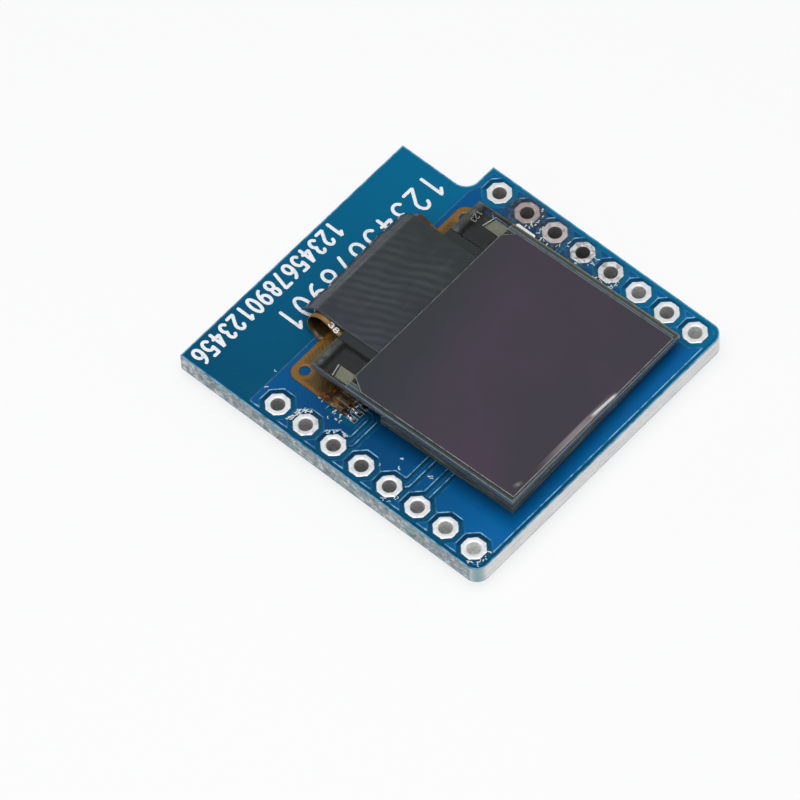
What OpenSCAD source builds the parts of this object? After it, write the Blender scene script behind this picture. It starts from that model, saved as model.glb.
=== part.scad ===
// Small display module: a graphic panel on a folded flex tail, carried by a
// two-row pin board. +Z is the viewing side, +Y the end with the bare margin.
// The origin is the middle of the outline on the surface that it stands on.

/* [Board] */
// Width across the two pin rows
board_w = 25.6; // [24.6:0.1:32]
// Length along the pin rows
board_l = 27.1; // [26.6:0.1:36]
// Thickness of the glass-epoxy core
core_t = 1.5; // [0.8:0.1:2.4]
// Radius of the two rounded corners
corner_r = 1.0; // [0.4:0.1:1.4]
// Width of the notch beside the bare margin
notch_w = 2.7; // [1.5:0.1:3.2]
// Length of the notch
notch_l = 6.0; // [4:0.1:6.2]
// Radius of the notch's inner corner
notch_r = 1.1; // [0.3:0.1:1.4]

/* [Pin holes] */
// Distance from one hole to the next in a row
pitch = 2.54; // [2.54]
// Distance between the two rows
row_gap = 22.86; // [20.32, 22.86]
// Holes in each row
row_count = 8; // [4:1:8]
// Finished diameter of a plated hole
hole_d = 1.0; // [0.8:0.05:1.1]
// Thickness of the plating in a hole
plating_t = 0.05; // [0.03:0.01:0.06]
// Width of an octagonal land across its flats
land_w = 1.83; // [1.6:0.01:1.9]
// Distance from the middle of the pin field to the middle of the board
field_shift = 3.1; // [2.4:0.1:3.2]

/* [Copper and mask] */
// Thickness of the copper foil
copper_t = 0.035; // [0.018:0.001:0.07]
// Thickness of the solder mask over copper
mask_t = 0.03; // [0.02:0.005:0.04]
// Height of a tinned land above the core
land_t = 0.08; // [0.06:0.01:0.12]
// Gap between a land and the copper field
copper_gap = 0.3; // [0.15:0.01:0.32]
// Gap between the copper field and the board's edge
edge_gap = 0.35; // [0.25:0.05:0.6]
// Length of the bare margin that has no copper
bare_l = 6.05; // [4:0.05:6.2]
// Width of a copper track
track_w = 0.3; // [0.2:0.05:0.4]
// Gap between the mask and what it leaves open
mask_gap = 0.05; // [0.03:0.01:0.08]

/* [Panel] */
// Width of the front glass
panel_w = 18.0; // [16:0.1:18.4]
// Length of the front glass
panel_l = 17.75; // [16:0.05:18]
// Thickness of each glass
glass_t = 0.5; // [0.4:0.05:0.7]
// Thickness of the seal between the glasses
seal_t = 0.05; // [0.02:0.01:0.1]
// Thickness of the polarizer
polarizer_t = 0.18; // [0.1:0.01:0.25]
// Length of the ledge that only the front glass covers
ledge_l = 3.05; // [2.8:0.05:4]
// Height of the panel's lower side above the board
panel_lift = 0.22; // [0.21:0.01:0.5]
// How far the panel is turned on the board, in degrees
panel_turn = 1.75; // [0:0.05:2]
// How far the panel leans towards the notched side, in degrees
panel_lean = 3.0; // [0:0.1:4]
// Where the panel's middle lies across the board
panel_x = 0.68; // [0:0.02:0.8]
// And how far along the board
panel_y = -3.3; // [-3.6:0.05:-3.2]
// Dark border at each side of the lit area
border_side = 2.3; // [1.8:0.1:3]
// Dark border between the lit area and the ledge
border_top = 2.1; // [1.6:0.1:3]
// Dark border at the lit area's other end
border_low = 2.5; // [1.8:0.1:3]

/* [Flex tail] */
// Thickness of the flex tail
flex_t = 0.1; // [0.06:0.01:0.15]
// Width of the tail where it is soldered down
foot_w = 18.4; // [17.8:0.1:18.8]
// Width of the tail where it folds
neck_w = 11.2; // [10:0.1:12]
// How far the neck lies to the right of the middle of the foot
neck_x = -0.15; // [-0.5:0.05:0.5]
// How far the fold stands past the front glass
fold_out = 2.9; // [2.2:0.05:3.1]
// Length of the foot on the board, and how far it reaches past the front glass
foot_l = 5.3; // [4.8:0.05:5.4]
foot_out = 1.48; // [1.2:0.02:1.6]
// How far the fold rises above the back of the front glass
fold_rise = 0.62; // [0.3:0.02:0.8]
// Diameter of the two locating holes
locate_d = 0.8; // [0.6:0.05:1]
// Contacts on the tail
contact_count = 30; // [20:1:30]
// Distance from the foot's side to the middle of the outer contact
contact_edge = 0.21; // [0.18:0.01:0.6]

/* [Small parts on the back] */
// Length, width and height of a ceramic capacitor
cap_size = [1.6, 0.8, 0.8];
// Length, width and height of a chip resistor
res_size = [1.6, 0.8, 0.45];
// Thickness of the solder under a small part
solder_t = 0.03; // [0.02:0.01:0.05]

/* [Hidden] */
$fn = 48;
cap_count = 7;
res_count = 5;

// heights, from the surface that the module stands on
skin_t = copper_t + mask_t;
core_z = cap_size[2] + solder_t + copper_t;
core_top = core_z + core_t;
top_z = core_top + skin_t;

// the pin field
field_y = -field_shift;
row_x = row_gap / 2;
first_y = field_y + pitch * (row_count - 1) / 2;
drill_d = hole_d + 2 * plating_t;

// the panel's own frame starts in the middle of the rear glass's back
rear_inset = 0.3;
panel_z = top_z + panel_lift + (panel_w / 2 - rear_inset) * sin(panel_lean);
front_z = glass_t + seal_t;
panel_top = front_z + glass_t;
ledge_y = panel_l / 2 - ledge_l;
seal_w = 0.9;
lit_t = 0.02;
desiccant_t = 0.1;
pocket_d = 0.2;
film_t = 0.02;
electrode_side = 0.3;
electrode_w = 1.05;
electrode_l = 1.7;
print_x = neck_w / 2 + abs(neck_x) + 0.05;
guard_gap = 0.07;
guard_w = 0.07;
chip_size = [neck_w - 1.6, 1.0, 0.3];
chip_y = ledge_y + 0.95;
bond_l = 1.2;
tape_w = neck_w - 0.7;
tape_x = -0.15;
tape_t = 0.06;
tape_lip = 0.95;
foam_inset = 0.15;
foam_l = panel_l - ledge_l - 3.1;

// the flex tail's foot lies on the board
foot_top = panel_y + panel_l / 2 + foot_out;
foot_end = foot_top - foot_l;
foot_r = 0.8;
neck_r = 0.45;
finger_l = 1.3;
contact_pitch = (foot_w - 2 * contact_edge) / (contact_count - 1);
finger_w = 0.55 * contact_pitch;
finger_t = 0.03;
flex_land_l = 1.9;
flex_land_y = foot_end - 0.9;
fold_steps = 18;
rise_steps = 6;
fold_y = panel_l / 2 + fold_out;

// small parts: where each one lies, and 1 where it stands across the rows
cap_places = [[-6.2, 6.6, 0], [-2.4, 6.6, 0], [1.6, 6.6, 0], [6.4, 6.6, 1],
              [-7.4, -8.6, 1], [0.4, -9.2, 0], [7.2, -8.4, 1]];
res_places = [[-6.8, 1.6, 1], [-4.2, 1.6, 1], [4.4, 1.4, 1], [6.8, 1.4, 1], [-3.4, -5.2, 0]];
cap_end_l = 0.3;
res_end_l = 0.28;
end_wall = 0.04;
pad_out = 0.45;
pad_side = 0.05;

// tracks on the viewing side, from a pin to a contact of the tail, as the row's
// side, the pin's number, the contact's number and the length that it slants first
top_tracks = [[-1, 3, 3, 0.9], [-1, 5, 5, 0.9], [-1, 6, 7, 0], [1, 3, 28, 0.9], [1, 4, 26, 0]];

function at_panel(p) =
    let (c = cos(panel_lean), s = sin(panel_lean), ct = cos(panel_turn), st = sin(panel_turn),
         x = c * p[0] + s * p[2], z = c * p[2] - s * p[0])
    [panel_x + ct * x - st * p[1], panel_y + st * x + ct * p[1], panel_z + z];

function mix(a, b, t) = a + (b - a) * t;

function contact_x(i) = (i - (contact_count + 1) / 2) * contact_pitch;

module in_panel() {
    translate([panel_x, panel_y, panel_z]) rotate([0, panel_lean, panel_turn]) children();
}

module at_pins(side) {
    for (i = [0:row_count - 1]) translate([side * row_x, first_y - i * pitch]) children();
}

module all_pins() {
    at_pins(-1) children();
    at_pins(1) children();
}

module octagon(across) {
    rotate(22.5) circle(d = across / cos(22.5), $fn = 8);
}

module box(size) {
    translate([-size[0] / 2, -size[1] / 2, 0]) cube(size);
}

// the board's outline, drawn in by a margin
module outline(in = 0) {
    difference() {
        union() {
            translate([-board_w / 2 + in, -board_l / 2 + corner_r])
                square([board_w - 2 * in, board_l - corner_r - in]);
            translate([-board_w / 2 + corner_r, -board_l / 2 + in])
                square([board_w - 2 * corner_r, corner_r]);
            for (side = [-1, 1])
                translate([side * (board_w / 2 - corner_r), -board_l / 2 + corner_r])
                    circle(corner_r - in);
        }
        notch(in);
    }
}

// what the notch takes away, with a round inner corner
module notch(in) {
    x = board_w / 2 - notch_w;
    y = board_l / 2 - notch_l;
    translate([x - in, y + notch_r]) square([notch_w + 2 * in + 1, notch_l + 1]);
    translate([x + notch_r, y - in]) square([notch_w + 1, notch_l + 1]);
    translate([x + notch_r, y + notch_r]) circle(notch_r + in);
}

// a straight stretch of track with round ends
module stretch(a, b, w) {
    d = b - a;
    translate(a) circle(d = w);
    translate(b) circle(d = w);
    if (norm(d) > 0)
        translate(a) rotate(atan2(d[1], d[0])) translate([0, -w / 2]) square([norm(d), w]);
}

// one track: out of its land, along the board and up into its contact
module top_track(side, pin, contact, slant, w) {
    start = [side * row_x, first_y - (pin - 1) * pitch];
    turn = start - slant * [side, 1];
    x = contact_x(contact);
    knee = [x, min(flex_land_y - 0.6, turn[1] + 1)];
    elbow = [side * (abs(x) + abs(knee[1] - turn[1])), turn[1]];
    stretch(start, turn, w);
    stretch(turn, elbow, w);
    stretch(elbow, knee, w);
    stretch(knee, [x, flex_land_y], w);
}

module top_track_set(w) {
    for (t = top_tracks) top_track(t[0], t[1], t[2], t[3], w);
}

module flex_land_set(grow = 0) {
    for (i = [1:contact_count])
        translate([contact_x(i) - finger_w / 2 - grow, flex_land_y - grow])
            square([finger_w + 2 * grow, flex_land_l + 2 * grow]);
}

// the copper on the viewing side; grow widens all of it
module top_copper_shape(grow = 0) {
    gap = copper_gap - grow;
    difference() {
        intersection() {
            outline(edge_gap - grow);
            translate([-board_w, -board_l]) square([2 * board_w, 1.5 * board_l - bare_l + grow]);
        }
        all_pins() octagon(land_w + 2 * gap);
        translate([-contact_count * contact_pitch / 2 - gap, flex_land_y - gap])
            square([contact_count * contact_pitch + 2 * gap, flex_land_l + 2 * gap]);
        top_track_set(track_w + 2 * gap);
    }
    difference() {
        top_track_set(track_w + 2 * grow);
        all_pins() octagon(land_w + 2 * mask_gap - 2 * grow);
        flex_land_set(mask_gap - grow);
    }
}

module at_small(places) {
    for (p = places) translate([p[0], p[1]]) rotate(p[2] * 90) children();
}

module pad_pair(size, end_l, grow = 0) {
    for (end = [-1, 1])
        translate([end * (size[0] / 2 + (pad_out - end_l) / 2), 0])
            square([end_l + pad_out + 2 * grow, size[1] + 2 * pad_side + 2 * grow], center = true);
}

module rear_pads(grow = 0) {
    at_small(cap_places) pad_pair(cap_size, cap_end_l, grow);
    at_small(res_places) pad_pair(res_size, res_end_l, grow);
}

module bottom_copper_shape(grow = 0) {
    gap = copper_gap - grow;
    difference() {
        intersection() {
            outline(edge_gap - grow);
            translate([-board_w, -board_l]) square([2 * board_w, 1.5 * board_l - bare_l + grow]);
        }
        all_pins() octagon(land_w + 2 * gap);
        rear_pads(gap);
    }
}

// a mask skin that follows the copper under it; z is its face on the core,
// and up is 1 on the viewing side
module skin(z, up) {
    translate([0, 0, z]) mirror([0, 0, up > 0 ? 0 : 1]) children();
}

module circuit_board() {
    color("#d9e0c8") translate([0, 0, core_z]) linear_extrude(core_t) difference() {
        outline();
        all_pins() circle(d = drill_d);
    }
}

module top_copper() {
    color("#1f6fb5") translate([0, 0, core_top]) linear_extrude(copper_t) top_copper_shape();
}

module bottom_copper() {
    color("#1f6fb5") translate([0, 0, core_z - copper_t]) linear_extrude(copper_t) {
        bottom_copper_shape();
        rear_pads();
    }
}

module top_solder_mask() {
    color("#0a5c9c") skin(core_top, 1) difference() {
        union() {
            linear_extrude(mask_t) outline();
            linear_extrude(skin_t) top_copper_shape(mask_t);
        }
        translate([0, 0, -1]) linear_extrude(copper_t + 1) top_copper_shape();
        translate([0, 0, -1]) linear_extrude(3) {
            all_pins() octagon(land_w + 2 * mask_gap);
            flex_land_set(mask_gap);
        }
    }
}

module bottom_solder_mask() {
    color("#0a5c9c") skin(core_z, -1) difference() {
        union() {
            linear_extrude(mask_t) outline();
            linear_extrude(skin_t) bottom_copper_shape(mask_t);
        }
        translate([0, 0, -1]) linear_extrude(copper_t + 1) bottom_copper_shape();
        translate([0, 0, -1]) linear_extrude(3) {
            all_pins() octagon(land_w + 2 * mask_gap);
            rear_pads(mask_gap);
        }
    }
}

// one row of plated holes: a barrel with an octagonal land on each side
module plated_row(side) {
    color("#c9ccd0") at_pins(side) difference() {
        union() {
            translate([0, 0, core_z - land_t]) linear_extrude(land_t) octagon(land_w);
            translate([0, 0, core_top]) linear_extrude(land_t) octagon(land_w);
            translate([0, 0, core_z]) cylinder(d = drill_d, h = core_t);
        }
        translate([0, 0, core_z - 1]) cylinder(d = hole_d, h = core_t + 2);
    }
}

module barrel_row_left() {
    plated_row(-1);
}

module barrel_row_right() {
    plated_row(1);
}

module flex_lands() {
    color("#c9ccd0") translate([0, 0, core_top]) linear_extrude(skin_t) flex_land_set();
}

// the foot of the tail, with its rounded corners and locating holes
module foot_shape() {
    difference() {
        union() {
            translate([-foot_w / 2, foot_end]) square([foot_w, foot_l - foot_r]);
            translate([-foot_w / 2 + foot_r, foot_end]) square([foot_w - 2 * foot_r, foot_l]);
            for (side = [-1, 1]) translate([side * (foot_w / 2 - foot_r), foot_top - foot_r])
                circle(foot_r);
            // a web with a hollow corner on each side of the neck
            for (side = [-1, 1]) difference() {
                translate([neck_x + side * neck_w / 2, foot_top]) square(2 * neck_r, center = true);
                translate([neck_x + side * (neck_w / 2 + neck_r), foot_top + neck_r]) circle(neck_r);
                translate([neck_x + side * (neck_w / 2 - neck_r) - neck_r, foot_top])
                    square([2 * neck_r, neck_r]);
            }
        }
        for (side = [-1, 1])
            translate([side * (foot_w / 2 - 0.95), foot_top - 0.88]) circle(d = locate_d);
    }
}

// the middle line of the tail at one edge of its neck, from under the ledge,
// out, round the fold and back on to the foot
function fold_line(side) =
    let (half = flex_t / 2,
         x = neck_x + side * neck_w / 2,
         arm_z = front_z - film_t - half,
         bond = at_panel([x, panel_l / 2 - bond_l, arm_z]),
         edge = at_panel([x, panel_l / 2 + 0.1, arm_z]),
         crest = at_panel([x, fold_y, arm_z + fold_rise]),
         low_z = top_z + half,
         r = (crest[2] - low_z) / 2,
         turn_y = crest[1] - r,
         run = turn_y - edge[1])
    concat(
        [bond],
        [for (i = [0:rise_steps - 1])
            let (t = i / rise_steps, u = 1 - t, k = 3 * u * t)
            [mix(edge[0], crest[0], t),
             edge[1] + run * (k * (0.45 * u + 0.55 * t) + t * t * t),
             mix(edge[2], crest[2], t * t * (3 - 2 * t))]],
        [for (i = [0:fold_steps])
            let (a = 180 * i / fold_steps)
            [mix(crest[0], x, i / fold_steps), turn_y + r * sin(a), low_z + r * (1 + cos(a))]],
        [[x, foot_top - 0.3, low_z]]);

// which way the tail's outer face looks at each point of that line
function fold_normals(line) =
    [for (i = [0:len(line) - 1])
        let (a = line[max(i - 1, 0)], b = line[min(i + 1, len(line) - 1)],
             dy = b[1] - a[1], dz = b[2] - a[2], n = norm([dy, dz]))
        i == len(line) - 1 ? [0, 0, -1] : i == 0 ? [0, 0, 1] : [0, -dz / n, dy / n]];

module fold() {
    left = fold_line(-1);
    right = fold_line(1);
    ln = fold_normals(left);
    rn = fold_normals(right);
    h = flex_t / 2;
    count = len(left);
    points = [for (i = [0:count - 1]) each
        [left[i] + ln[i] * h, right[i] + rn[i] * h, right[i] - rn[i] * h, left[i] - ln[i] * h]];
    // each face in two triangles, because the fold twists a little
    sides = [for (i = [0:count - 2], j = [0:3], half = [0, 1])
        let (a = 4 * i + j, b = 4 * i + (j + 1) % 4)
        half == 0 ? [a, a + 4, b + 4] : [a, b + 4, b]];
    last = 4 * count - 4;
    polyhedron(points, concat([[0, 1, 2, 3]], sides, [[last + 3, last + 2, last + 1, last]]));
}

module flex_tail() {
    color("#b5782a") {
        translate([0, 0, top_z]) linear_extrude(flex_t) foot_shape();
        fold();
    }
}

module flex_contacts() {
    color("#c9a94a") translate([0, 0, top_z + flex_t]) linear_extrude(finger_t)
        for (i = [1:contact_count])
            translate([contact_x(i) - finger_w / 2, foot_end]) square([finger_w, finger_l]);
}

// each joint runs from its land up over the end of its contact
module flex_solder() {
    rise = flex_t + finger_t;
    lap = 0.35;
    toe = 0.6;
    color("#d2d4d8") for (i = [1:contact_count])
        translate([contact_x(i) - finger_w / 2, foot_end, top_z]) rotate([90, 0, 90])
            linear_extrude(finger_w) difference() {
                union() {
                    translate([-toe, 0]) square([toe, rise]);
                    translate([-0.12, rise]) square([lap + 0.12, 0.07]);
                }
                translate([-toe, rise + 0.27]) circle(r = 0.36);
            }
}

// foam under the rear glass, cut to the board below it
module foam_pad() {
    color("#8f938a") intersection() {
        in_panel() translate([-panel_w / 2 + rear_inset + foam_inset, -panel_l / 2 + rear_inset, -4])
            cube([panel_w - 2 * rear_inset - 2 * foam_inset, foam_l, 4]);
        translate([-board_w, -board_l, top_z]) cube([2 * board_w, 2 * board_l, 4]);
    }
}

module rear_shape(in = 0) {
    translate([-panel_w / 2 + rear_inset + in, -panel_l / 2 + rear_inset + in])
        square([panel_w - 2 * rear_inset - 2 * in, panel_l - ledge_l - 2 * rear_inset - 2 * in]);
}

module rear_glass() {
    color("#8fa39a") in_panel() difference() {
        linear_extrude(glass_t) rear_shape();
        translate([0, 0, glass_t - pocket_d]) linear_extrude(pocket_d + 1) rear_shape(seal_w);
    }
}

module desiccant_film() {
    color("#e4e2da") in_panel() translate([0, 0, glass_t - pocket_d])
        linear_extrude(desiccant_t) rear_shape(seal_w + 1);
}

module glass_seal() {
    color("#b9b39a") in_panel() translate([0, 0, glass_t]) linear_extrude(seal_t) difference() {
        rear_shape();
        rear_shape(seal_w);
    }
}

module lit_layer() {
    color("#3a3440") in_panel()
        translate([border_side - panel_w / 2, border_low - panel_l / 2, front_z - lit_t])
            cube([panel_w - 2 * border_side, panel_l - ledge_l - border_top - border_low, lit_t]);
}

module front_glass() {
    color("#7d8f88") in_panel() translate([0, 0, front_z]) box([panel_w, panel_l, glass_t]);
}

// an electrode's pad, drawn for the right end; its top edge slants down outwards
module electrode_pad(grow = 0) {
    right = panel_w / 2 - electrode_side;
    offset(delta = grow) polygon([[right - electrode_w, ledge_y - 0.15], [right, ledge_y - 0.15],
                                  [right, ledge_y + electrode_l - 0.4],
                                  [right - electrode_w, ledge_y + electrode_l - 0.15]]);
}

// the guard line follows the pad's top and its outer side
module guard_line(grow = 0) {
    right = panel_w / 2 - electrode_side;
    difference() {
        electrode_pad(guard_gap + guard_w + grow);
        electrode_pad(guard_gap - grow);
        translate([right - electrode_w - 1, ledge_y - 1]) square([1 - grow, electrode_l + 2]);
        translate([right - electrode_w - 1, ledge_y - 1]) square([electrode_w + 2, 1 - grow]);
    }
}

module electrode(side) {
    color("#b9bda6") in_panel() mirror([side > 0 ? 0 : 1, 0, 0])
        translate([0, 0, front_z - film_t]) linear_extrude(film_t) {
            electrode_pad();
            guard_line();
        }
}

// the dark print under both ends of the ledge, with a window round each electrode
module ledge_print() {
    color("#2f322f") in_panel() for (side = [0, 1]) mirror([side, 0, 0])
        translate([0, 0, front_z - film_t]) linear_extrude(film_t) difference() {
            translate([print_x, ledge_y - 0.2])
                square([panel_w / 2 - print_x - 0.4, ledge_l - 0.2]);
            electrode_pad(0.03);
            guard_line(0.03);
        }
}

module left_electrode() {
    electrode(-1);
}

module right_electrode() {
    electrode(1);
}

module driver_chip() {
    color("#2b2d31") in_panel() translate([0, chip_y, front_z - chip_size[2]]) box(chip_size);
}

module bonding_film() {
    color("#9a8f6a") in_panel()
        translate([neck_x, panel_l / 2 - bond_l / 2, front_z - film_t]) box([neck_w, bond_l, film_t]);
}

// the polarizer stops short of the ledge and has two cut corners
module polarizer() {
    left = -panel_w / 2 + 0.25;
    right = panel_w / 2 - 0.6;
    low = -panel_l / 2 + 0.1;
    cut = 0.8;
    color("#3b3a42") in_panel() translate([0, 0, panel_top]) linear_extrude(polarizer_t)
        polygon([[left, low], [right, low], [right, ledge_y - cut], [right - cut, ledge_y],
                 [left + cut, ledge_y], [left, ledge_y - 1.5 * cut]]);
}

function bezier(a, b, c, d, count) =
    [for (i = [1:count])
        let (t = i / count, u = 1 - t)
        u * u * u * a + 3 * u * u * t * b + 3 * u * t * t * c + t * t * t * d];

// the tape lies on the ledge, passes over the fold and ends free in front of it
function tape_line() =
    let (edge = panel_l / 2, z = panel_top + tape_t / 2,
         crest = [fold_y - 0.72, max(z, front_z - film_t + fold_rise + tape_t / 2 + 0.03)],
         end = [fold_y + tape_lip, -0.03])
    concat(
        [[ledge_y + 0.03, z], [edge, z]],
        bezier([edge, z], [edge + 0.7, z], crest - [0.7, 0], crest, 6),
        bezier(crest, crest + [0.65, 0], end + [-0.4, 0.66], end, 12));

module light_shield_tape() {
    line = tape_line();
    last = len(line) - 1;
    normals = [for (i = [0:last])
        let (d = line[min(i + 1, last)] - line[max(i - 1, 0)]) i < 2 ? [0, 1] : [-d[1], d[0]] / norm(d)];
    color("#34363b") in_panel() rotate([90, 0, 90]) translate([0, 0, tape_x - tape_w / 2])
        linear_extrude(tape_w) polygon(concat(
            [for (i = [0:last]) line[i] + normals[i] * tape_t / 2],
            [for (i = [last:-1:0]) line[i] - normals[i] * tape_t / 2]));
}

// a small part hangs under the board: its own +Z points away from the board
module hang(place) {
    translate([place[0], place[1], cap_size[2]]) rotate(place[2] * 90) mirror([0, 0, 1])
        children();
}

module capacitor(i) {
    inner = [cap_size[0] - 2 * end_wall, cap_size[1] - 2 * end_wall, cap_size[2] - 2 * end_wall];
    color("#b59a73") hang(cap_places[i - 1]) {
        translate([0, 0, end_wall]) box(inner);
        translate([0, 0, 0.01])
            box([cap_size[0] - 2 * cap_end_l, cap_size[1] - 0.02, cap_size[2] - 0.02]);
    }
}

module capacitor_ends(i) {
    color("#c9ccd0") hang(cap_places[i - 1]) for (end = [-1, 1]) difference() {
        translate([end * (cap_size[0] - cap_end_l) / 2, 0, 0])
            box([cap_end_l, cap_size[1], cap_size[2]]);
        translate([end * (cap_size[0] / 2 - end_wall - cap_end_l / 2 - 0.5), 0, end_wall])
            box([cap_end_l + 1, cap_size[1] - 2 * end_wall, cap_size[2] - 2 * end_wall]);
    }
}

module resistor(i) {
    color("#e9e6de") hang(res_places[i - 1]) translate([0, 0, end_wall])
        box([res_size[0] - 2 * end_wall, res_size[1], res_size[2] - 2 * end_wall]);
}

module resistor_ends(i) {
    color("#c9ccd0") hang(res_places[i - 1]) for (end = [-1, 1]) difference() {
        translate([end * (res_size[0] - res_end_l) / 2, 0, 0])
            box([res_end_l, res_size[1], res_size[2]]);
        translate([end * (res_size[0] / 2 - end_wall - res_end_l / 2 - 0.5), 0, end_wall])
            box([res_end_l + 1, res_size[1] + 1, res_size[2] - 2 * end_wall]);
    }
}

module resistor_glaze(i) {
    color("#1d1d20") hang(res_places[i - 1]) translate([0, 0, res_size[2] - end_wall])
        box([res_size[0] - 2 * res_end_l - 0.04, res_size[1] - 0.06, end_wall]);
}

// solder at one end of a small part: a film under it and a hollow fillet
module small_joint(size, end_l) {
    r = min(pad_out - 0.05, size[2] * 0.6);
    for (end = [0, 1]) mirror([end, 0, 0]) {
        translate([size[0] / 2 - end_l / 2, 0, -solder_t]) box([end_l, size[1], solder_t]);
        translate([size[0] / 2, size[1] / 2, -solder_t]) rotate([90, 0, 0])
            linear_extrude(size[1]) difference() {
                square(r);
                translate([r, r]) circle(r);
            }
    }
}

module rear_solder() {
    color("#d2d4d8") {
        for (p = cap_places) hang(p) small_joint(cap_size, cap_end_l);
        for (p = res_places) hang(p) small_joint(res_size, res_end_l);
    }
}

circuit_board();
top_copper();
bottom_copper();
top_solder_mask();
bottom_solder_mask();
barrel_row_left();
barrel_row_right();
flex_lands();
flex_tail();
flex_contacts();
flex_solder();
foam_pad();
rear_glass();
desiccant_film();
glass_seal();
lit_layer();
front_glass();
left_electrode();
right_electrode();
ledge_print();
driver_chip();
bonding_film();
polarizer();
light_shield_tape();
rear_solder();
for (i = [1:cap_count]) {
    capacitor(i);
    capacitor_ends(i);
}
for (i = [1:res_count]) {
    resistor(i);
    resistor_ends(i);
    resistor_glaze(i);
}
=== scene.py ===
import math

import bpy
import numpy as np
from mathutils import Matrix, Vector, geometry


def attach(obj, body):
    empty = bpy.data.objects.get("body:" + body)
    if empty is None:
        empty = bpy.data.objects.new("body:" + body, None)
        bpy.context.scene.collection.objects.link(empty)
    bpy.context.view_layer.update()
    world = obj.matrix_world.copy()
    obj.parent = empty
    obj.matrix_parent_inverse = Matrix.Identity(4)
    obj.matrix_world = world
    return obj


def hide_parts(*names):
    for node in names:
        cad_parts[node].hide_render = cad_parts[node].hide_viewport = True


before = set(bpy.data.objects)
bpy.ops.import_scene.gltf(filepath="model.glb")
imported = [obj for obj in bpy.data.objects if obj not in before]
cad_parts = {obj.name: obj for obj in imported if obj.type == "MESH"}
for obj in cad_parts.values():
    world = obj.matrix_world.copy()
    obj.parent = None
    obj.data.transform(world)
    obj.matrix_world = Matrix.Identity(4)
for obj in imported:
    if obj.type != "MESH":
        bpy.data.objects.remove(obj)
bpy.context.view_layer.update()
mm = 0.001
print("frame loaded")

# the board and everything on it, in millimetres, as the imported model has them
board = {"width": 25.6, "length": 27.1, "corner": 1.0, "notchWidth": 2.7, "notchLength": 6.0, "notchRound": 1.1,
         "coreBottom": 0.865, "coreTop": 2.365, "top": 2.43, "back": 0.8}
pins = {"rowX": 11.43, "pitch": 2.54, "firstY": 5.79, "count": 8, "hole": 0.5, "drill": 0.55, "land": 0.915,
        "landHeight": 0.08}
copper = {"gap": 0.3, "edge": 0.35, "fieldTop": 7.5, "track": 0.15, "maskGap": 0.05}
panel = {"x": 0.68, "y": -3.3, "turn": 1.75, "lean": 3.0, "width": 18.0, "length": 17.75, "lift": 0.22, "inset": 0.3,
         "glass": 0.5, "seal": 0.05, "sealWidth": 0.9, "pocket": 0.2, "ledge": 3.05}
tail = {"thick": 0.1, "foot": 18.4, "neck": 11.2, "neckX": -0.15, "foldOut": 2.9, "foldRise": 0.62, "footOut": 1.48,
        "footLength": 5.3, "footRound": 0.8, "neckRound": 0.45, "bond": 1.2, "filmGap": 0.02,
        "holeRadius": 0.4, "holeSide": 0.95, "holeTop": 0.88, "riseCount": 16, "turnCount": 36,
        "spacing": 0.16, "columns": 33, "edgeOut": 0.1, "endBack": 0.3}
contacts = {"count": 30, "edge": 0.21, "fill": 0.55, "length": 1.3, "high": 0.03, "gather": 0.46, "landLength": 1.9,
            "landOut": 0.9, "kneeBack": 0.6}
hw, hl = panel["width"] / 2, panel["length"] / 2
lean, turned = math.radians(panel["lean"]), math.radians(panel["turn"])
panel["z"] = board["top"] + panel["lift"] + (hw - panel["inset"]) * math.sin(lean)
panel["frontZ"] = panel["glass"] + panel["seal"]
panel["topZ"] = panel["frontZ"] + panel["glass"]
panel["ledgeY"] = hl - panel["ledge"]
tail["footTop"] = panel["y"] + hl + tail["footOut"]
tail["footEnd"] = tail["footTop"] - tail["footLength"]
contacts["pitch"] = (tail["foot"] - 2 * contacts["edge"]) / (contacts["count"] - 1)
contacts["width"] = contacts["fill"] * contacts["pitch"]
contacts["landY"] = tail["footEnd"] - contacts["landOut"]

# camera, light and backdrop
view = {"aim": (-5.765, -0.3, 2.43), "distance": 586.41, "azimuth": -45.619, "elevation": 57.019, "roll": -3.258,
        "lens": 387.82}
lamps = {
    "overhead": {"at": (-30, -20, 190), "towards": (0, 0, 0), "size": 150, "power": 0.22, "colour": (1, 0.99, 0.975)},
    "side": {"at": (-190, 60, 110), "towards": (0, 0, 0), "size": 90, "power": 0.045, "colour": (0.96, 0.98, 1)},
    "low": {"at": (60, 190, 60), "towards": (0, 0, 2), "size": 70, "power": 0.02, "colour": (1, 1, 1)},
    "front": {"at": (170, -290, 110), "towards": (0, 0, 0), "size": 260, "power": 0.18, "colour": (1, 1, 1)},
}
backdrop = {"colour": (0.93, 0.965, 1, 1), "strength": 0.36, "floor": 400, "floorZ": -0.02, "seen": 0.8}
scene = bpy.context.scene


def placeCamera(v):
    az, el = math.radians(v["azimuth"]), math.radians(v["elevation"])
    back = Vector((math.sin(az) * math.cos(el), -math.cos(az) * math.cos(el), math.sin(el)))
    right = Vector((math.cos(az), math.sin(az), 0.0))
    up = back.cross(right)
    roll = math.radians(v["roll"])
    side = right * math.cos(roll) + up * math.sin(roll)
    data = bpy.data.cameras.new("camera")
    data.lens, data.sensor_width, data.clip_start, data.clip_end = v["lens"], 36, 0.01, 20
    eye = bpy.data.objects.new("camera", data)
    spot = (Vector(v["aim"]) + back * v["distance"]) * mm
    eye.matrix_world = Matrix.Translation(spot) @ Matrix((side, back.cross(side), back)).transposed().to_4x4()
    scene.collection.objects.link(eye)
    scene.camera = eye


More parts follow.
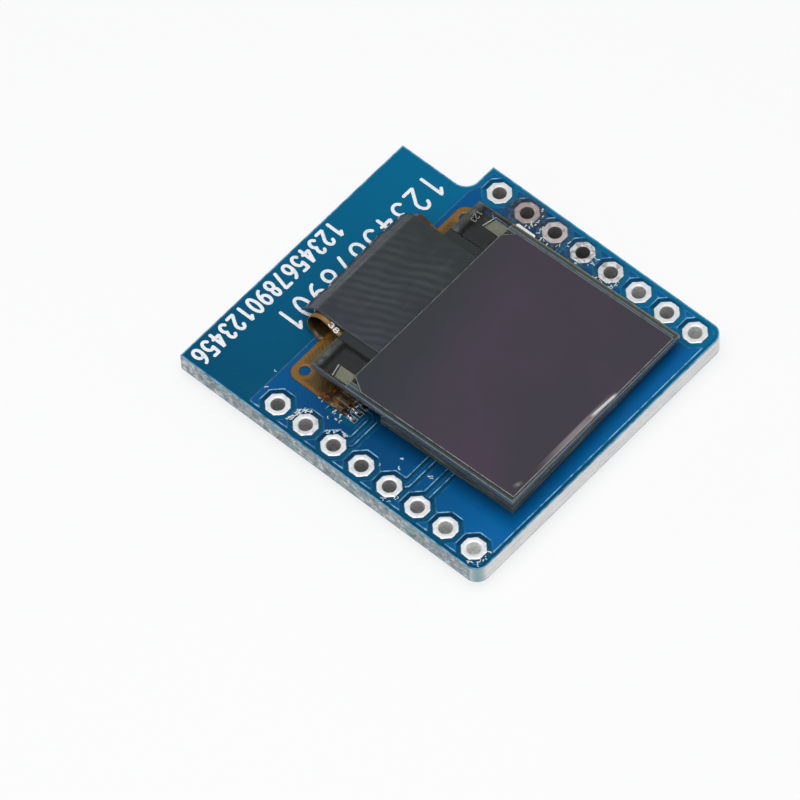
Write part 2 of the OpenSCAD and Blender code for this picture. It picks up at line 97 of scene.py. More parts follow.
def placeLamp(name, one):
    data = bpy.data.lights.new(name, "AREA")
    data.shape, data.size, data.energy, data.color = "SQUARE", one["size"] * mm, one["power"], one["colour"]
    lamp = bpy.data.objects.new(name, data)
    lamp.location = Vector(one["at"]) * mm
    lamp.rotation_euler = (Vector(one["towards"]) * mm - lamp.location).to_track_quat("-Z", "Y").to_euler()
    scene.collection.objects.link(lamp)


placeCamera(view)
for lampName, lampValues in lamps.items():
    placeLamp(lampName, lampValues)
scene.view_settings.view_transform = "Standard"
scene.world = bpy.data.worlds.new("studio")
scene.world.use_nodes = True
sky = scene.world.node_tree.nodes["Background"].inputs
sky["Color"].default_value, sky["Strength"].default_value = backdrop["colour"], backdrop["strength"]
print("camera and lamps placed")


def colourOf(colour):
    # a screen colour such as "#1a2b3c" as the linear numbers that a shader takes; linear numbers pass unchanged
    if not isinstance(colour, str):
        return tuple(colour[:3])
    parts = [int(colour[i:i + 2], 16) / 255 for i in (1, 3, 5)]
    return tuple(p / 12.92 if p <= 0.04045 else ((p + 0.055) / 1.055) ** 2.4 for p in parts)


def panelSpot(points):
    # the panel's own frame to the board's: lean about Y, turn about Z, then move
    p = np.asarray(points, float)
    x = math.cos(lean) * p[..., 0] + math.sin(lean) * p[..., 2]
    z = math.cos(lean) * p[..., 2] - math.sin(lean) * p[..., 0]
    return np.stack([panel["x"] + math.cos(turned) * x - math.sin(turned) * p[..., 1],
                     panel["y"] + math.sin(turned) * x + math.cos(turned) * p[..., 1], panel["z"] + z], -1)


class Look:
    # a material that is built up in steps: tone is the colour so far, and every step goes over it
    def __init__(self, name, colour, roughness=0.4, metallic=0.0):
        self.mat = bpy.data.materials.new(name)
        self.mat.use_nodes = True
        self.tree = self.mat.node_tree
        self.shader = self.tree.nodes["Principled BSDF"]
        self.set("Base Color", colour)
        self.set("Roughness", roughness)
        self.set("Metallic", metallic)

    def put(self, socket, value):
        if isinstance(value, bpy.types.NodeSocket):
            self.tree.links.new(value, socket)
        elif socket.type == "RGBA":
            socket.default_value = (*colourOf(value), 1)
        else:
            socket.default_value = value

    def set(self, key, value):
        self.put(self.shader.inputs[key], value)

    def node(self, kind, inputs=None, **settings):
        # a new node with its settings and inputs; gives its outputs
        made = self.tree.nodes.new(kind)
        for key, value in settings.items():
            setattr(made, key, value)
        for key, value in (inputs or {}).items():
            self.put(made.inputs[key], value)
        return made.outputs

    def calc(self, what, a, b=0.0, c=0.0):
        return self.node("ShaderNodeMath", {0: a, 1: b, 2: c}, operation=what)[0]

    def times(self, first, *others):
        for one in others:
            first = self.calc("MULTIPLY", first, one)
        return first

    def plus(self, a, b):
        return self.calc("ADD", a, b)

    def minus(self, a, b):
        return self.calc("SUBTRACT", a, b)

    def scaled(self, a, factor, offset):
        return self.calc("MULTIPLY_ADD", a, factor, offset)

    def most(self, first, *others):
        for one in others:
            first = self.calc("MAXIMUM", first, one)
        return first

    def least(self, a, b):
        return self.calc("MINIMUM", a, b)

    def absolute(self, a):
        return self.calc("ABSOLUTE", a)

    def vector(self, what, a, b=(0, 0, 0)):
        return self.node("ShaderNodeVectorMath", {0: a, 1: b}, operation=what)

    def dot(self, a, way):
        return self.vector("DOT_PRODUCT", a, way)["Value"]

    def combined(self, x, y, z):
        return self.node("ShaderNodeCombineXYZ", {0: x, 1: y, 2: z})[0]

    def place(self):
        return self.node("ShaderNodeTexCoord")["Object"]

    def xyz(self):
        return self.node("ShaderNodeSeparateXYZ", {0: self.place()})

    def inPanel(self):
        # a spot's three coordinates in the panel's own frame, in millimetres
        origin = panelSpot([0, 0, 0])
        away = self.vector("SUBTRACT", self.place(), tuple(origin * mm))[0]
        return [self.dot(away, tuple((panelSpot(way) - origin) / mm)) for way in np.eye(3)]

    def stretched(self, scale, turn=(0, 0, 0)):
        return self.node("ShaderNodeMapping", {"Vector": self.place(), "Scale": scale, "Rotation": turn})["Vector"]

    def drawnOut(self, x, y, z, along, high):
        # the panel's coordinates, stretched lengthwise and pressed together in height
        return self.combined(self.times(x, along), self.times(y, along), self.times(z, high))

    def noise(self, size, detail=4, rough=0.55, where=None):
        # size is the width of one blotch in millimetres, unless where is already scaled
        scale = 1000 / size if where is None else size
        return self.node("ShaderNodeTexNoise", {"Vector": where or self.place(), "Scale": scale, "Detail": detail,
                                                "Roughness": rough})["Fac"]

    def fade(self, value, low, high, a=0.0, b=1.0):
        # a smooth step from a to b while value goes from low to high
        return self.node("ShaderNodeMapRange", {"Value": value, "From Min": low, "From Max": high, "To Min": a,
                                                "To Max": b}, interpolation_type="SMOOTHSTEP")["Result"]

    def blots(self, size, detail, low, high, a=0.0, b=1.0, rough=0.55):
        return self.fade(self.noise(size, detail, rough), low, high, a, b)

    def ramp(self, value, *stops):
        made = self.tree.nodes.new("ShaderNodeValToRGB")
        self.put(made.inputs[0], value)
        while len(made.color_ramp.elements) < len(stops):
            made.color_ramp.elements.new(0.5)
        for element, (at, colour) in zip(made.color_ramp.elements, stops):
            element.position, element.color = at, (*colourOf(colour), 1)
        return made.outputs[0]

    def mix(self, factor, a, b):
        return self.node("ShaderNodeMix", {0: factor, 6: a, 7: b}, data_type="RGBA")[2]

    def tint(self, factor, colour):
        self.tone = self.mix(factor, self.tone, colour)

    def value(self, name):
        # a number that the piece's points carry
        return self.node("ShaderNodeAttribute", attribute_name=name)["Fac"]

    def bump(self, height, depth, strength=1.0, under=None):
        # depth is the height of a full step in millimetres
        inputs = {"Height": height, "Distance": depth * mm, "Strength": strength}
        if under is not None:
            inputs["Normal"] = under
        made = self.node("ShaderNodeBump", inputs)[0]
        self.set("Normal", made)
        return made

    def done(self):
        self.set("Base Color", self.tone)
        return self.mat


def plainLook(name, tones, size, roughness=0.5, metallic=0.0, relief=0.006, shine=0.5):
    look = Look(name, tones[0], roughness, metallic)
    look.set("Specular IOR Level", shine)
    look.tone = look.ramp(look.noise(size), (0.3, tones[0]), (0.7, tones[1]))
    look.set("Roughness", look.blots(size * 2, 3, 0.3, 0.7, roughness * 0.8, min(1.0, roughness * 1.25)))
    look.bump(look.noise(size / 3, 3), relief, 0.8)
    return look.done()


def gridFaces(rows, cols, wrapRows=False, wrapCols=False):
    # one quad for every cell of a rows by cols grid of points
    i, j = np.meshgrid(np.arange(rows if wrapRows else rows - 1), np.arange(cols if wrapCols else cols - 1),
                       indexing="ij")
    i, j = i.ravel(), j.ravel()
    ni, nj = (i + 1) % rows, (j + 1) % cols
    return np.stack([i * cols + j, ni * cols + j, ni * cols + nj, i * cols + nj], 1)


def addMesh(name, points, faces):
    mesh = bpy.data.meshes.new(name)
    mesh.from_pydata((np.asarray(points, float) * mm).tolist(), [], [list(map(int, f)) for f in faces])
    piece = bpy.data.objects.new(name, mesh)
    scene.collection.objects.link(piece)
    return piece


def addPiece(name, points, faces, angle=None, smooth=True, **values):
    # values are numbers for each point, which a material can read; angle makes the sharper edges crisp
    piece = addMesh(name, points, faces)
    piece.data.validate()
    piece.data.polygons.foreach_set("use_smooth", [smooth] * len(piece.data.polygons))
    for key, numbers in values.items():
        made = piece.data.attributes.new(key, "FLOAT", "POINT")
        made.data.foreach_set("value", np.asarray(numbers, np.float32))
    if angle:
        piece.data.set_sharp_from_angle(angle=math.radians(angle))
    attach(piece, "root")
    return piece


def finish(piece, mat, slot, *nodes):
    piece.data.materials.clear()
    piece.data.materials.append(mat)
    if nodes:
        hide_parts(*nodes)


def dress(mat, *names):
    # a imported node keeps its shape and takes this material
    for name in names:
        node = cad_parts[name]
        node.data.materials.clear()
        node.data.materials.append(mat)


def solidify(piece, thickness, offset):
    made = piece.modifiers.new("thickness", "SOLIDIFY")
    made.thickness, made.offset = thickness * mm, offset


def spin(cx, cy, rx, ry, start, end, count):
    # spots round an ellipse, from one angle to the other
    a = np.radians(np.linspace(start, end, count))
    return np.stack([cx + rx * np.cos(a), cy + ry * np.sin(a)], 1)


def arc(cx, cy, r, start, end, count):
    return spin(cx, cy, r, r, start, end, count)


def smoothStep(x, low, high):
    t = np.clip((x - low) / (high - low), 0, 1)
    return t * t * (3 - 2 * t)


def lengthAlong(path):
    return np.concatenate([[0], np.cumsum(np.linalg.norm(np.diff(path, axis=0), axis=1))])


def joined(parts):
    points, faces, first = [], [], 0
    for p, f in parts:
        points.append(np.asarray(p))
        faces += [[first + k for k in face] for face in (f.tolist() if isinstance(f, np.ndarray) else f)]
        first += len(p)
    return np.concatenate(points), faces


def trimmedSheet(loops, spacing, keep):
    # a triangle sheet whose rims follow the closed loops, with a grid of points inside; keep(x, y) is under 0 on it
    rim = np.concatenate(loops)
    (x0, y0), (x1, y1) = rim.min(0) + spacing / 2, rim.max(0)
    inner = np.stack(np.meshgrid(np.arange(x0, x1, spacing), np.arange(y0, y1, spacing)), -1).reshape(-1, 2)
    inner = inner[keep(*inner.T) < -0.4 * spacing]
    edges, first = [], 0
    for loop in loops:
        n = len(loop)
        edges += [(first + k, first + (k + 1) % n) for k in range(n)]
        first += n
    spots = [Vector(p) for p in np.concatenate([rim, inner]).tolist()]
    out = geometry.delaunay_2d_cdt(spots, edges, [], 0, 1e-6)
    flat, faces = np.array([tuple(v) for v in out[0]]), np.array(out[2])
    faces = faces[keep(*flat[faces].mean(1).T) < 0]
    a, b, c = (flat[faces[:, k]] for k in range(3))
    under = (b[:, 0] - a[:, 0]) * (c[:, 1] - a[:, 1]) - (b[:, 1] - a[:, 1]) * (c[:, 0] - a[:, 0]) < 0
    faces[under] = faces[under][:, ::-1]
    return flat, faces


# distances in the board's plane, in millimetres, under 0 inside
def rounded(d, cx, cy, r):
    return np.where((cx > 0) & (cy > 0), np.hypot(cx, cy) - r, d)


def boxField(x, y, x0, x1, y0, y1):
    return np.maximum(np.abs(x - (x0 + x1) / 2) - (x1 - x0) / 2, np.abs(y - (y0 + y1) / 2) - (y1 - y0) / 2)


def boardField(x, y):
    w, l, r = board["width"] / 2, board["length"] / 2, board["corner"]
    d = np.maximum(np.abs(x) - w, np.abs(y) - l)
    d = rounded(d, np.abs(x) - (w - r), -y - (l - r), r)
    nx, ny, nr = x - (w - board["notchWidth"]), y - (l - board["notchLength"]), board["notchRound"]
    notch = np.where((nx < nr) & (ny < nr), nr - np.hypot(nx - nr, ny - nr), np.minimum(nx, ny))
    return np.maximum(d, notch)


def pinY(pin):
    return pins["firstY"] - (pin - 1) * pins["pitch"]


def pinField(x, y):
    # distance from the nearest pin's middle, measured as an octagon
    pin = np.clip(np.round((pins["firstY"] - y) / pins["pitch"]), 0, pins["count"] - 1) + 1
    ax, ay = np.abs(np.abs(x) - pins["rowX"]), np.abs(y - pinY(pin))
    return np.maximum(np.maximum(ax, ay), (ax + ay) / math.sqrt(2))


def stretchField(x, y, a, b):
    d = np.subtract(b, a)
    t = np.clip(((x - a[0]) * d[0] + (y - a[1]) * d[1]) / max(d @ d, 1e-9), 0, 1)
    return np.hypot(x - a[0] - t * d[0], y - a[1] - t * d[1])


def contactX(i):
    return (i - (contacts["count"] + 1) / 2) * contacts["pitch"]


def trackPath(side, pin, contact, slant):
    start = np.array([side * pins["rowX"], pinY(pin)])
    bend = start - slant * np.array([side, 1])
    x = contactX(contact)
    knee = np.array([x, min(contacts["landY"] - contacts["kneeBack"], bend[1] + 1)])
    elbow = np.array([side * (abs(x) + abs(knee[1] - bend[1])), bend[1]])
    return [start, bend, elbow, knee, np.array([x, contacts["landY"]])]


# side, pin, contact and slant of each track
tracks = ((-1, 3, 3, 0.9), (-1, 5, 5, 0.9), (-1, 6, 7, 0), (1, 3, 28, 0.9), (1, 4, 26, 0))


def clearedField(x, y):
    # the whole copper field with its octagonal clearances
    field = np.maximum(boardField(x, y) + copper["edge"], y - copper["fieldTop"])
    return np.maximum(field, pins["land"] + copper["gap"] - pinField(x, y))


def copperField(x, y):
    away = np.full(x.shape, 9.0)
    for one in tracks:
        path = trackPath(*one)
        for a, b in zip(path, path[1:]):
            away = np.minimum(away, stretchField(x, y, a, b))
    half, gap = contacts["count"] * contacts["pitch"] / 2, copper["gap"]
    band = boxField(x, y, -half - gap, half + gap, contacts["landY"] - gap,
                    contacts["landY"] + contacts["landLength"] + gap)
    field = np.maximum(clearedField(x, y), np.maximum(-band, copper["track"] + gap - away))
    return np.minimum(field, np.maximum(away - copper["track"], pins["land"] + copper["maskGap"] - pinField(x, y)))


rearParts = {
    "capacitor": {"size": (1.6, 0.8, 0.8), "end": 0.3, "slot": "tan_ceramic",
                  "at": [(-6.2, 6.6, 0), (-2.4, 6.6, 0), (1.6, 6.6, 0), (6.4, 6.6, 1), (-7.4, -8.6, 1),
                         (0.4, -9.2, 0), (7.2, -8.4, 1)]},
    "resistor": {"size": (1.6, 0.8, 0.45), "end": 0.28, "slot": "white_ceramic",
                 "at": [(-6.8, 1.6, 1), (-4.2, 1.6, 1), (4.4, 1.4, 1), (6.8, 1.4, 1), (-3.4, -5.2, 0)]},
}


def rearPads(more=0.0):
    # every solder pad on the back as x0, x1, y0, y1
    out = []
    for kind in rearParts.values():
        length, w = kind["size"][0] / 2, kind["size"][1] / 2 + 0.05 + more
        for x, y, across in kind["at"]:
            for end in (-1, 1):
                a, b = sorted((end * (length - kind["end"]), end * (length + 0.45)))
                a, b = a - more, b + more
                out.append((x - w, x + w, y + a, y + b) if across else (x + a, x + b, y - w, y + w))
    return out


def boxesField(x, y, boxes):
    return np.minimum.reduce([boxField(x, y, *box) for box in boxes])


def backCopperField(x, y):
    return np.maximum(clearedField(x, y), copper["gap"] - boxesField(x, y, rearPads()))


def outlineLoop():
    w, l, r = board["width"] / 2, board["length"] / 2, board["corner"]
    nx, ny, nr = w - board["notchWidth"], l - board["notchLength"], board["notchRound"]
    return np.concatenate([arc(-w + r, -l + r, r, 180, 270, 13), arc(w - r, -l + r, r, 270, 360, 13), [(w, ny)],
                           arc(nx + nr, ny + nr, nr, 270, 180, 13), [(nx, l)], [(-w, l)]])


def rectLoop(x0, x1, y0, y1):
    return np.array([(x0, y0), (x1, y0), (x1, y1), (x0, y1)])


def roundRect(x0, x1, y0, y1, r, count):
    return np.concatenate([arc(x0 + r, y0 + r, r, 180, 270, count), arc(x1 - r, y0 + r, r, 270, 360, count),
                           arc(x1 - r, y1 - r, r, 0, 90, count), arc(x0 + r, y1 - r, r, 90, 180, count)])


def blockLoop(x, y, w, l, r):
    return roundRect(x - w / 2, x + w / 2, y - l / 2, y + l / 2, r, 4)


# blue lacquer on both faces: one trimmed sheet each, which carries its distance from the copper's rim
# a residue spot is side, pin, radius and strength
lacquer = {"spacing": 0.15, "thick": 0.06, "slope": 0.055, "relief": 0.035, "shadowReach": 1.1, "hole": 0.006,
           "open": 0.05,
           "residue": [(1, 2, 1.85, 0.95), (1, 3, 1.65, 0.9), (1, 4, 1.45, 0.7), (1, 5, 1.4, 0.55), (-1, 2, 1.3, 0.2)]}


def lacquerLook(name):
    look = Look(name, "#00619c", 0.22)
    gap, slope, outline = look.value("copperGap"), look.value("rimSlope"), look.value("outline")
    x, y, _ = look.xyz()
    # painted shade across the board: over copper the lacquer is painted darkest across the middle and lightest towards
    # the front, over bare fibreglass lighter towards the right
    drift = look.scaled(look.noise(8.0, 2), 0.3, -0.15)
    across = look.plus(look.scaled(x, 42.0, 0.5), drift)
    along = look.plus(look.scaled(y, -50.0, 0.36), drift)
    coated = look.ramp(along, (0.02, "#08578e"), (0.3, "#044676"), (0.6, "#045388"), (0.95, "#0564a4"))
    bare = look.ramp(across, (0.0, "#005174"), (1.0, "#006b94"))
    look.tone = look.mix(look.fade(gap, 0.05, -0.05), bare, coated)
    look.tint(look.blots(0.22, 3, 0.66, 0.8, 0, 0.22, rough=0.7), "#2a86bd")
    # painted light and shade: a thin light line on the copper's rim, a painted highlight strongest where the rim falls
    # away to the left and to the front, and a dark foot of painted shade beside it there
    foot = look.times(look.fade(gap, 0.02, 0.09), look.fade(gap, 0.34, 0.24), look.fade(slope, -0.2, 0.8),
                      look.fade(outline, -0.42, -0.3, 0.72, 0.3))
    look.tint(foot, "#02203f")
    rim = look.times(look.fade(gap, -0.085, -0.03), look.fade(gap, 0.04, -0.01))
    lit = look.scaled(look.fade(slope, 0.1, 0.75), 0.8, 0.1)
    look.tint(look.times(rim, lit, look.blots(0.5, 3, 0.34, 0.62, 0.15, 1.0)), "#9ad2f5")
    # a painted highlight: a light line along the board's outline
    look.tint(look.times(look.fade(outline, -0.13, -0.03), look.blots(0.6, 3, 0.3, 0.6, 0.25, 0.9)), "#86bdde")
    # dull flux left on the lacquer, and a painted shadow round the panel's foot
    residue = look.times(look.value("residue"), look.blots(0.55, 4, 0.34, 0.56, 0.25, 1.0, rough=0.65))
    look.tint(residue, look.ramp(look.noise(0.35, 3), (0.35, "#25313a"), (0.6, "#4d4a4c"), (0.75, "#7a7373")))
    look.tint(look.times(look.value("dim"), 0.5), "#03192e")
    look.set("Roughness", look.blots(2.2, 4, 0.3, 0.7, 0.16, 0.3))
    look.set("Specular IOR Level", 0.14)
    weave = look.node("ShaderNodeTexWave", {"Vector": look.place(), "Scale": 260.0, "Distortion": 1.2,
                                            "Detail": 2.0})["Fac"]
    soft = look.bump(look.plus(look.times(weave, 0.25), look.noise(0.9, 3)), 0.0035, 0.6)
    look.bump(look.fade(gap, lacquer["slope"], -lacquer["slope"]), lacquer["relief"], 1.0, soft)
    return look.done()


def residueField(x, y):
    left = np.zeros(x.shape)
    for side, pin, r, strength in lacquer["residue"]:
        d = np.hypot(x - side * (pins["rowX"] - 0.25), y - pinY(pin))
        left = np.maximum(left, strength * (1 - smoothStep(d, 0.6 * r, r)))
    return left


def panelShadowField(x, y):
    # the panel's painted shadow on the lacquer: 1 under the panel, falling to 0 over a strip outside its left and front
    # sides
    dx, dy = x - panel["x"], y - panel["y"]
    along, up = math.cos(turned) * dx + math.sin(turned) * dy, math.cos(turned) * dy - math.sin(turned) * dx
    out = np.maximum(np.abs(along) - hw, np.maximum(-hl - up, up - panel["ledgeY"]))
    return 1 - smoothStep(out, -0.5, lacquer["shadowReach"])


maskHalf = pins["land"] + lacquer["hole"]
octagon = np.radians(22.5 + 45 * np.arange(8))
octagon = maskHalf / math.cos(math.pi / 8) * np.stack([np.cos(octagon), np.sin(octagon)], 1)
pinHoles = [(s * pins["rowX"], pinY(k)) + octagon for s in (-1, 1) for k in range(1, pins["count"] + 1)]


def contactBox(i, more, y0, y1):
    half = contacts["width"] / 2 + more
    return contactX(i) - half, contactX(i) + half, y0 - more, y1 + more


def makeLacquer(name, side, boxes, field, node):
    def opened(x, y):
        return np.minimum(pinField(x, y) - maskHalf, boxesField(x, y, boxes))

    def keep(x, y):
        return np.maximum(boardField(x, y), -opened(x, y))

    flat, faces = trimmedSheet([outlineLoop()] + pinHoles + [rectLoop(*box) for box in boxes], lacquer["spacing"], keep)
    x, y = flat.T
    # how steeply the copper's rim falls towards the left and the front
    e = 0.05
    fall = sum(field(x - dx, y - dy) - field(x + dx, y + dy) for dx, dy in ((e, 0), (0, e)))
    values = {"copperGap": np.clip(field(x, y), -0.6, 0.6), "outline": np.clip(boardField(x, y), -0.6, 0.1),
              "rimSlope": fall / (2 * e) / math.sqrt(2)}
    if side > 0:
        values.update(residue=residueField(x, y), dim=panelShadowField(x, y))
    else:
        faces = faces[:, ::-1]
    z = np.full(len(flat), board["top"] if side > 0 else board["back"])
    piece = addPiece(name, np.column_stack([flat, z]), faces, smooth=False, **values)
    solidify(piece, lacquer["thick"], -1)
    finish(piece, lacquerLook(name), "blue_mask", node)


landBoxes = [contactBox(i, lacquer["open"], contacts["landY"], contacts["landY"] + contacts["landLength"])
             for i in range(1, contacts["count"] + 1)]
makeLacquer("lacquerFront", 1, landBoxes, copperField, "top_solder_mask")
makeLacquer("lacquerBack", -1, rearPads(lacquer["open"]), backCopperField, "bottom_solder_mask")
print("lacquer made")


# slabs: an outline carried up a profile, with flat lids
def edgeProfile(top, bottom, r, count=4):
    # inset and height from the upper rim down to the lower rim, with both edges rounded by r
    a = np.radians(np.linspace(90, 0, count))
    upper = np.stack([r - r * np.cos(a), top - r + r * np.sin(a)], 1)
    lower = np.stack([r - r * np.cos(a), bottom + r - r * np.sin(a)], 1)[::-1]
    # one more row inside each rim keeps the lids' shading flat
    return np.concatenate([[(r + 0.005, top)], upper, lower, [(r + 0.005, bottom)]])


def slab(loop, profile):
    # each point is the outline's point, moved inwards along its mitre by the profile's inset, at its height
    step = np.roll(loop, -1, 0) - loop
    step /= np.linalg.norm(step, axis=1)[:, None]
    inward = np.stack([-step[:, 1], step[:, 0]], 1)
    before = np.roll(inward, 1, 0)
    mitre = (inward + before) / (1 + (inward * before).sum(1))[:, None]
    rows, cols = len(profile), len(loop)
    points = np.empty((rows, cols, 3))
    points[..., :2] = loop + profile[:, None, :1] * mitre
    points[..., 2] = profile[:, None, 1]
    j, last = np.arange(cols), (rows - 1) * cols
    onward, lid = (j + 1) % cols, np.full(cols, rows * cols)
    faces = gridFaces(rows, cols, wrapCols=True).tolist() + np.stack([lid, j, onward], 1).tolist()
    faces += np.stack([lid + 1, last + onward, last + j], 1).tolist()
    middle = loop.mean(0)
    return np.concatenate([points.reshape(-1, 3), [(*middle, profile[0][1]), (*middle, profile[-1][1])]]), faces


def panelSlab(name, loop, profile, **rows):
    # rows are numbers for each row of the profile
    points, faces = slab(loop, profile)
    values = {key: np.concatenate([np.repeat(one, len(loop)), [0, 0]]) for key, one in rows.items()}
    return addPiece(name, panelSpot(points), faces, 38, **values)


# plated holes: hole wall, rolled lip, domed land and octagon rim, turned round each pin; the lists have a number for
# each pin of the left and the right row
plating = {"lip": 0.07, "dome": 0.022, "bare": 0.885, "around": 64,
           "stain": {-1: [0.1, 0.35, 0.2, 0.25, 0.12, 0.1, 0.05, 0.05],
                     1: [0.1, 0.4, 0.35, 0.65, 0.5, 0.08, 0.05, 0.05]},
           "dull": {-1: [0.0, 0.1, 0.0, 0.0, 0.0, 0.0, 0.0, 0.0], 1: [0.15, 1.0, 0.7, 0.15, 0.2, 0.0, 0.0, 0.0]},
           "wallTone": {-1: [0.36, 0.48, 0.4, 0.34, 0.4, 0.55, 0.75, 0.95],
                        1: [0.3, 0.16, 0.16, 0.12, 0.34, 0.6, 0.5, 0.75]}}


def holeProfile():
    # share of the way from the hole to the octagon's rim, and height above the land's foot
    a, b = np.radians(np.linspace(0, 90, 6)), np.radians(np.linspace(70, 0, 5))
    lip, high, across = plating["lip"], pins["landHeight"], np.linspace(0.25, 0.79, 6)
    # beyond the bare tin the lacquer laps over the land's rim
    laps = board["top"] - board["coreTop"] + 0.002
    return np.concatenate([
        np.stack([lip * (1 - np.cos(a)) / 0.41, high - lip * (1 - np.sin(a))], 1),
        np.stack([across, high + plating["dome"] * np.sin(math.pi * (across - 0.17) / 0.71)], 1),
        np.stack([0.83 + 0.045 * np.cos(b), high - 0.012 * (1 - np.sin(b))], 1),
        [(plating["bare"], laps), (0.97, laps), (1.0, laps - 0.012), (1.0, 0.0)]])


def platedRow(name, side):
    profile = holeProfile()
    turn = np.radians(np.linspace(0, 360, plating["around"], endpoint=False))
    outer = pins["land"] / np.cos((turn + math.pi / 8) % (math.pi / 4) - math.pi / 8)
    drilled = (pins["drill"] - pins["hole"]) / (pins["land"] - pins["hole"])
    share = np.concatenate([profile[::-1, 0], profile[:, 0], [drilled, drilled]])[:, None]
    height = np.concatenate([board["coreTop"] + profile[::-1, 1], board["coreBottom"] - profile[:, 1],
                             [board["coreBottom"], board["coreTop"]]])[:, None]
    radius = pins["hole"] + share * (outer - pins["hole"])
    radius[-2:] = pins["drill"]
    ragged = (share > 0.7) & (share < plating["bare"] + 0.01)
    faces = gridFaces(len(share), len(turn), wrapRows=True, wrapCols=True)[:, ::-1]
    parts = []
    for k in range(pins["count"]):
        wave = 0.006 * np.sin(3 * turn + 1.7 * k + side) * np.clip(share, 0, 1) * (height > 2)
        r = radius + ragged * (0.008 * np.sin(7 * turn + 2.3 * k) + 0.006 * np.sin(13 * turn + k + side))
        points = np.stack([side * pins["rowX"] + r * np.cos(turn), pinY(k + 1) + r * np.sin(turn), height + wave], -1)
        parts.append((points.reshape(-1, 3), faces))
    values = {key: np.repeat(plating[key][side], radius.size) for key in ("stain", "dull", "wallTone")}
    for key, rows in (("wall", share < 0.03), ("cover", share > plating["bare"] - 0.001)):
        values[key] = np.tile(np.repeat(rows, len(turn)), pins["count"])
    return addPiece(name, *joined(parts), **values)


def tinLook():
    look = Look("tinned", (0.93, 0.94, 0.95), 0.3, 0.4)
    stain, wall, cover = look.value("stain"), look.value("wall"), look.value("cover")
    dirt = look.fade(look.scaled(stain, 0.28, look.noise(0.42, 5, 0.7)), 0.6, 0.78)
    dull = look.times(look.value("dull"), look.blots(0.7, 3, 0.25, 0.5, 0.55, 1.0))
    look.tone = look.ramp(look.noise(0.26), (0.3, (0.8, 0.82, 0.83)), (0.55, (0.95, 0.96, 0.97)), (0.75, (1, 1, 1)))
    look.tint(dull, "#ad9b97")
    look.tint(look.times(dirt, look.scaled(stain, 0.7, 0.2)), "#3a332e")
    # painted shade: each hole's wall is painted lighter or darker pin by pin, after how much light reaches into it
    mottled = look.times(look.value("wallTone"), look.blots(0.16, 4, 0.3, 0.7, 0.75, 1.25, rough=0.7))
    look.tint(wall, look.node("ShaderNodeCombineColor", {0: mottled, 1: mottled, 2: look.times(mottled, 0.97)})[0])
    look.tint(cover, "#064477")
    solid = look.most(cover, dull, dirt, wall)
    look.set("Metallic", look.scaled(solid, -0.15, 0.18))
    look.set("Roughness", look.fade(solid, 0, 1, 0.3, 0.6))
    look.bump(look.scaled(dirt, 0.6, look.noise(0.22, 3)), 0.012, 0.7)
    return look.done()


tin = tinLook()
for side, word in ((-1, "left"), (1, "right")):
    finish(platedRow("platedHoles" + word.capitalize(), side), tin, "tinned", "barrel_row_" + word)
print("plated holes made")


def coreLook():
    # glass fibre, with its layers showing on the cut edges
    look = Look("fibreglass", "#d3dbc9", 0.5)
    layers = look.noise(1.0, 3, 0.6, look.stretched((300, 300, 7000)))
    threads = look.noise(1.0, 5, 0.7, look.stretched((2200, 2200, 6000)))
    x, y, _ = look.xyz()
    look.tone = look.ramp(layers, (0.25, "#cdcfcc"), (0.4, "#eae8e6"), (0.6, "#f8f6f4"), (0.8, "#fffefc"))
    # the left cut is the rougher one, and is painted greyer as shade, since it faces away from the light; teal lacquer
    # is smeared over its upper part
    leftCut = look.fade(x, -0.01275, -0.01279)
    grey = look.ramp(threads, (0.34, "#59656a"), (0.48, "#7d8a90"), (0.58, "#97a3a8"), (0.68, "#e3e7e8"))
    look.tint(look.times(leftCut, 0.85), grey)
    crumbs = look.noise(0.5, 4, 0.7)
    look.tint(look.times(leftCut, look.fade(crumbs, 0.53, 0.62, 0, 0.8)), "#dde4e5")
    look.tint(look.times(leftCut, look.fade(crumbs, 0.46, 0.37, 0, 0.7)), "#56666c")
    teal = look.blots(1.3, 4, 0.5, 0.66, 0, 0.6, rough=0.65)
    look.tint(look.times(teal, look.scaled(leftCut, 0.8, 0.12)), "#5fa3a8")
    look.tint(look.fade(threads, 0.6, 0.75, 0, 0.6), "#fafaf8")
    look.tint(look.fade(look.plus(x, y), -0.0254, -0.0259, 0, 0.9), "#4f9aa3")
    look.bump(look.scaled(threads, 0.9, layers), 0.05, 0.9)
    return look.done()


def copperLook():
    look = Look("copper", (0.72, 0.33, 0.2), 0.35, 1.0)
    look.tone = look.ramp(look.noise(1.2), (0.3, (0.55, 0.24, 0.15)), (0.7, (0.8, 0.42, 0.27)))
    look.bump(look.noise(0.2, 3), 0.004)
    return look.done()


def solderLook():
    look = Look("solder", (0.78, 0.79, 0.8), 0.26, 1.0)
    look.tone = look.ramp(look.noise(0.4), (0.3, (0.6, 0.61, 0.62)), (0.7, (0.86, 0.87, 0.88)))
    look.set("Roughness", look.blots(0.5, 3, 0.3, 0.7, 0.18, 0.42))
    look.bump(look.noise(0.25, 3), 0.01, 0.8)
    return look.done()


def jointLook():
    look = Look("jointSolder", (0.7, 0.7, 0.7), 0.3, 0.8)
    # dark blotches: grime, and painted shadow where the joints lie in the panel's shade
    grimeAndShade = look.blots(0.34, 4, 0.36, 0.5, rough=0.7)
    look.tone = look.mix(grimeAndShade, (0.6, 0.61, 0.62), "#201c1a")
    look.set("Metallic", look.scaled(grimeAndShade, -0.7, 0.9))
    look.bump(look.noise(0.25, 3), 0.02, 0.8)
    return look.done()


dress(coreLook(), "circuit_board")
dress(copperLook(), "top_copper", "bottom_copper")
jointSolder = jointLook()
dress(jointSolder, "flex_lands")


# the flex tail: an amber film with its foot on the board and a loop up to the panel
def between(a, b, t):
    return a + (b - a) * t


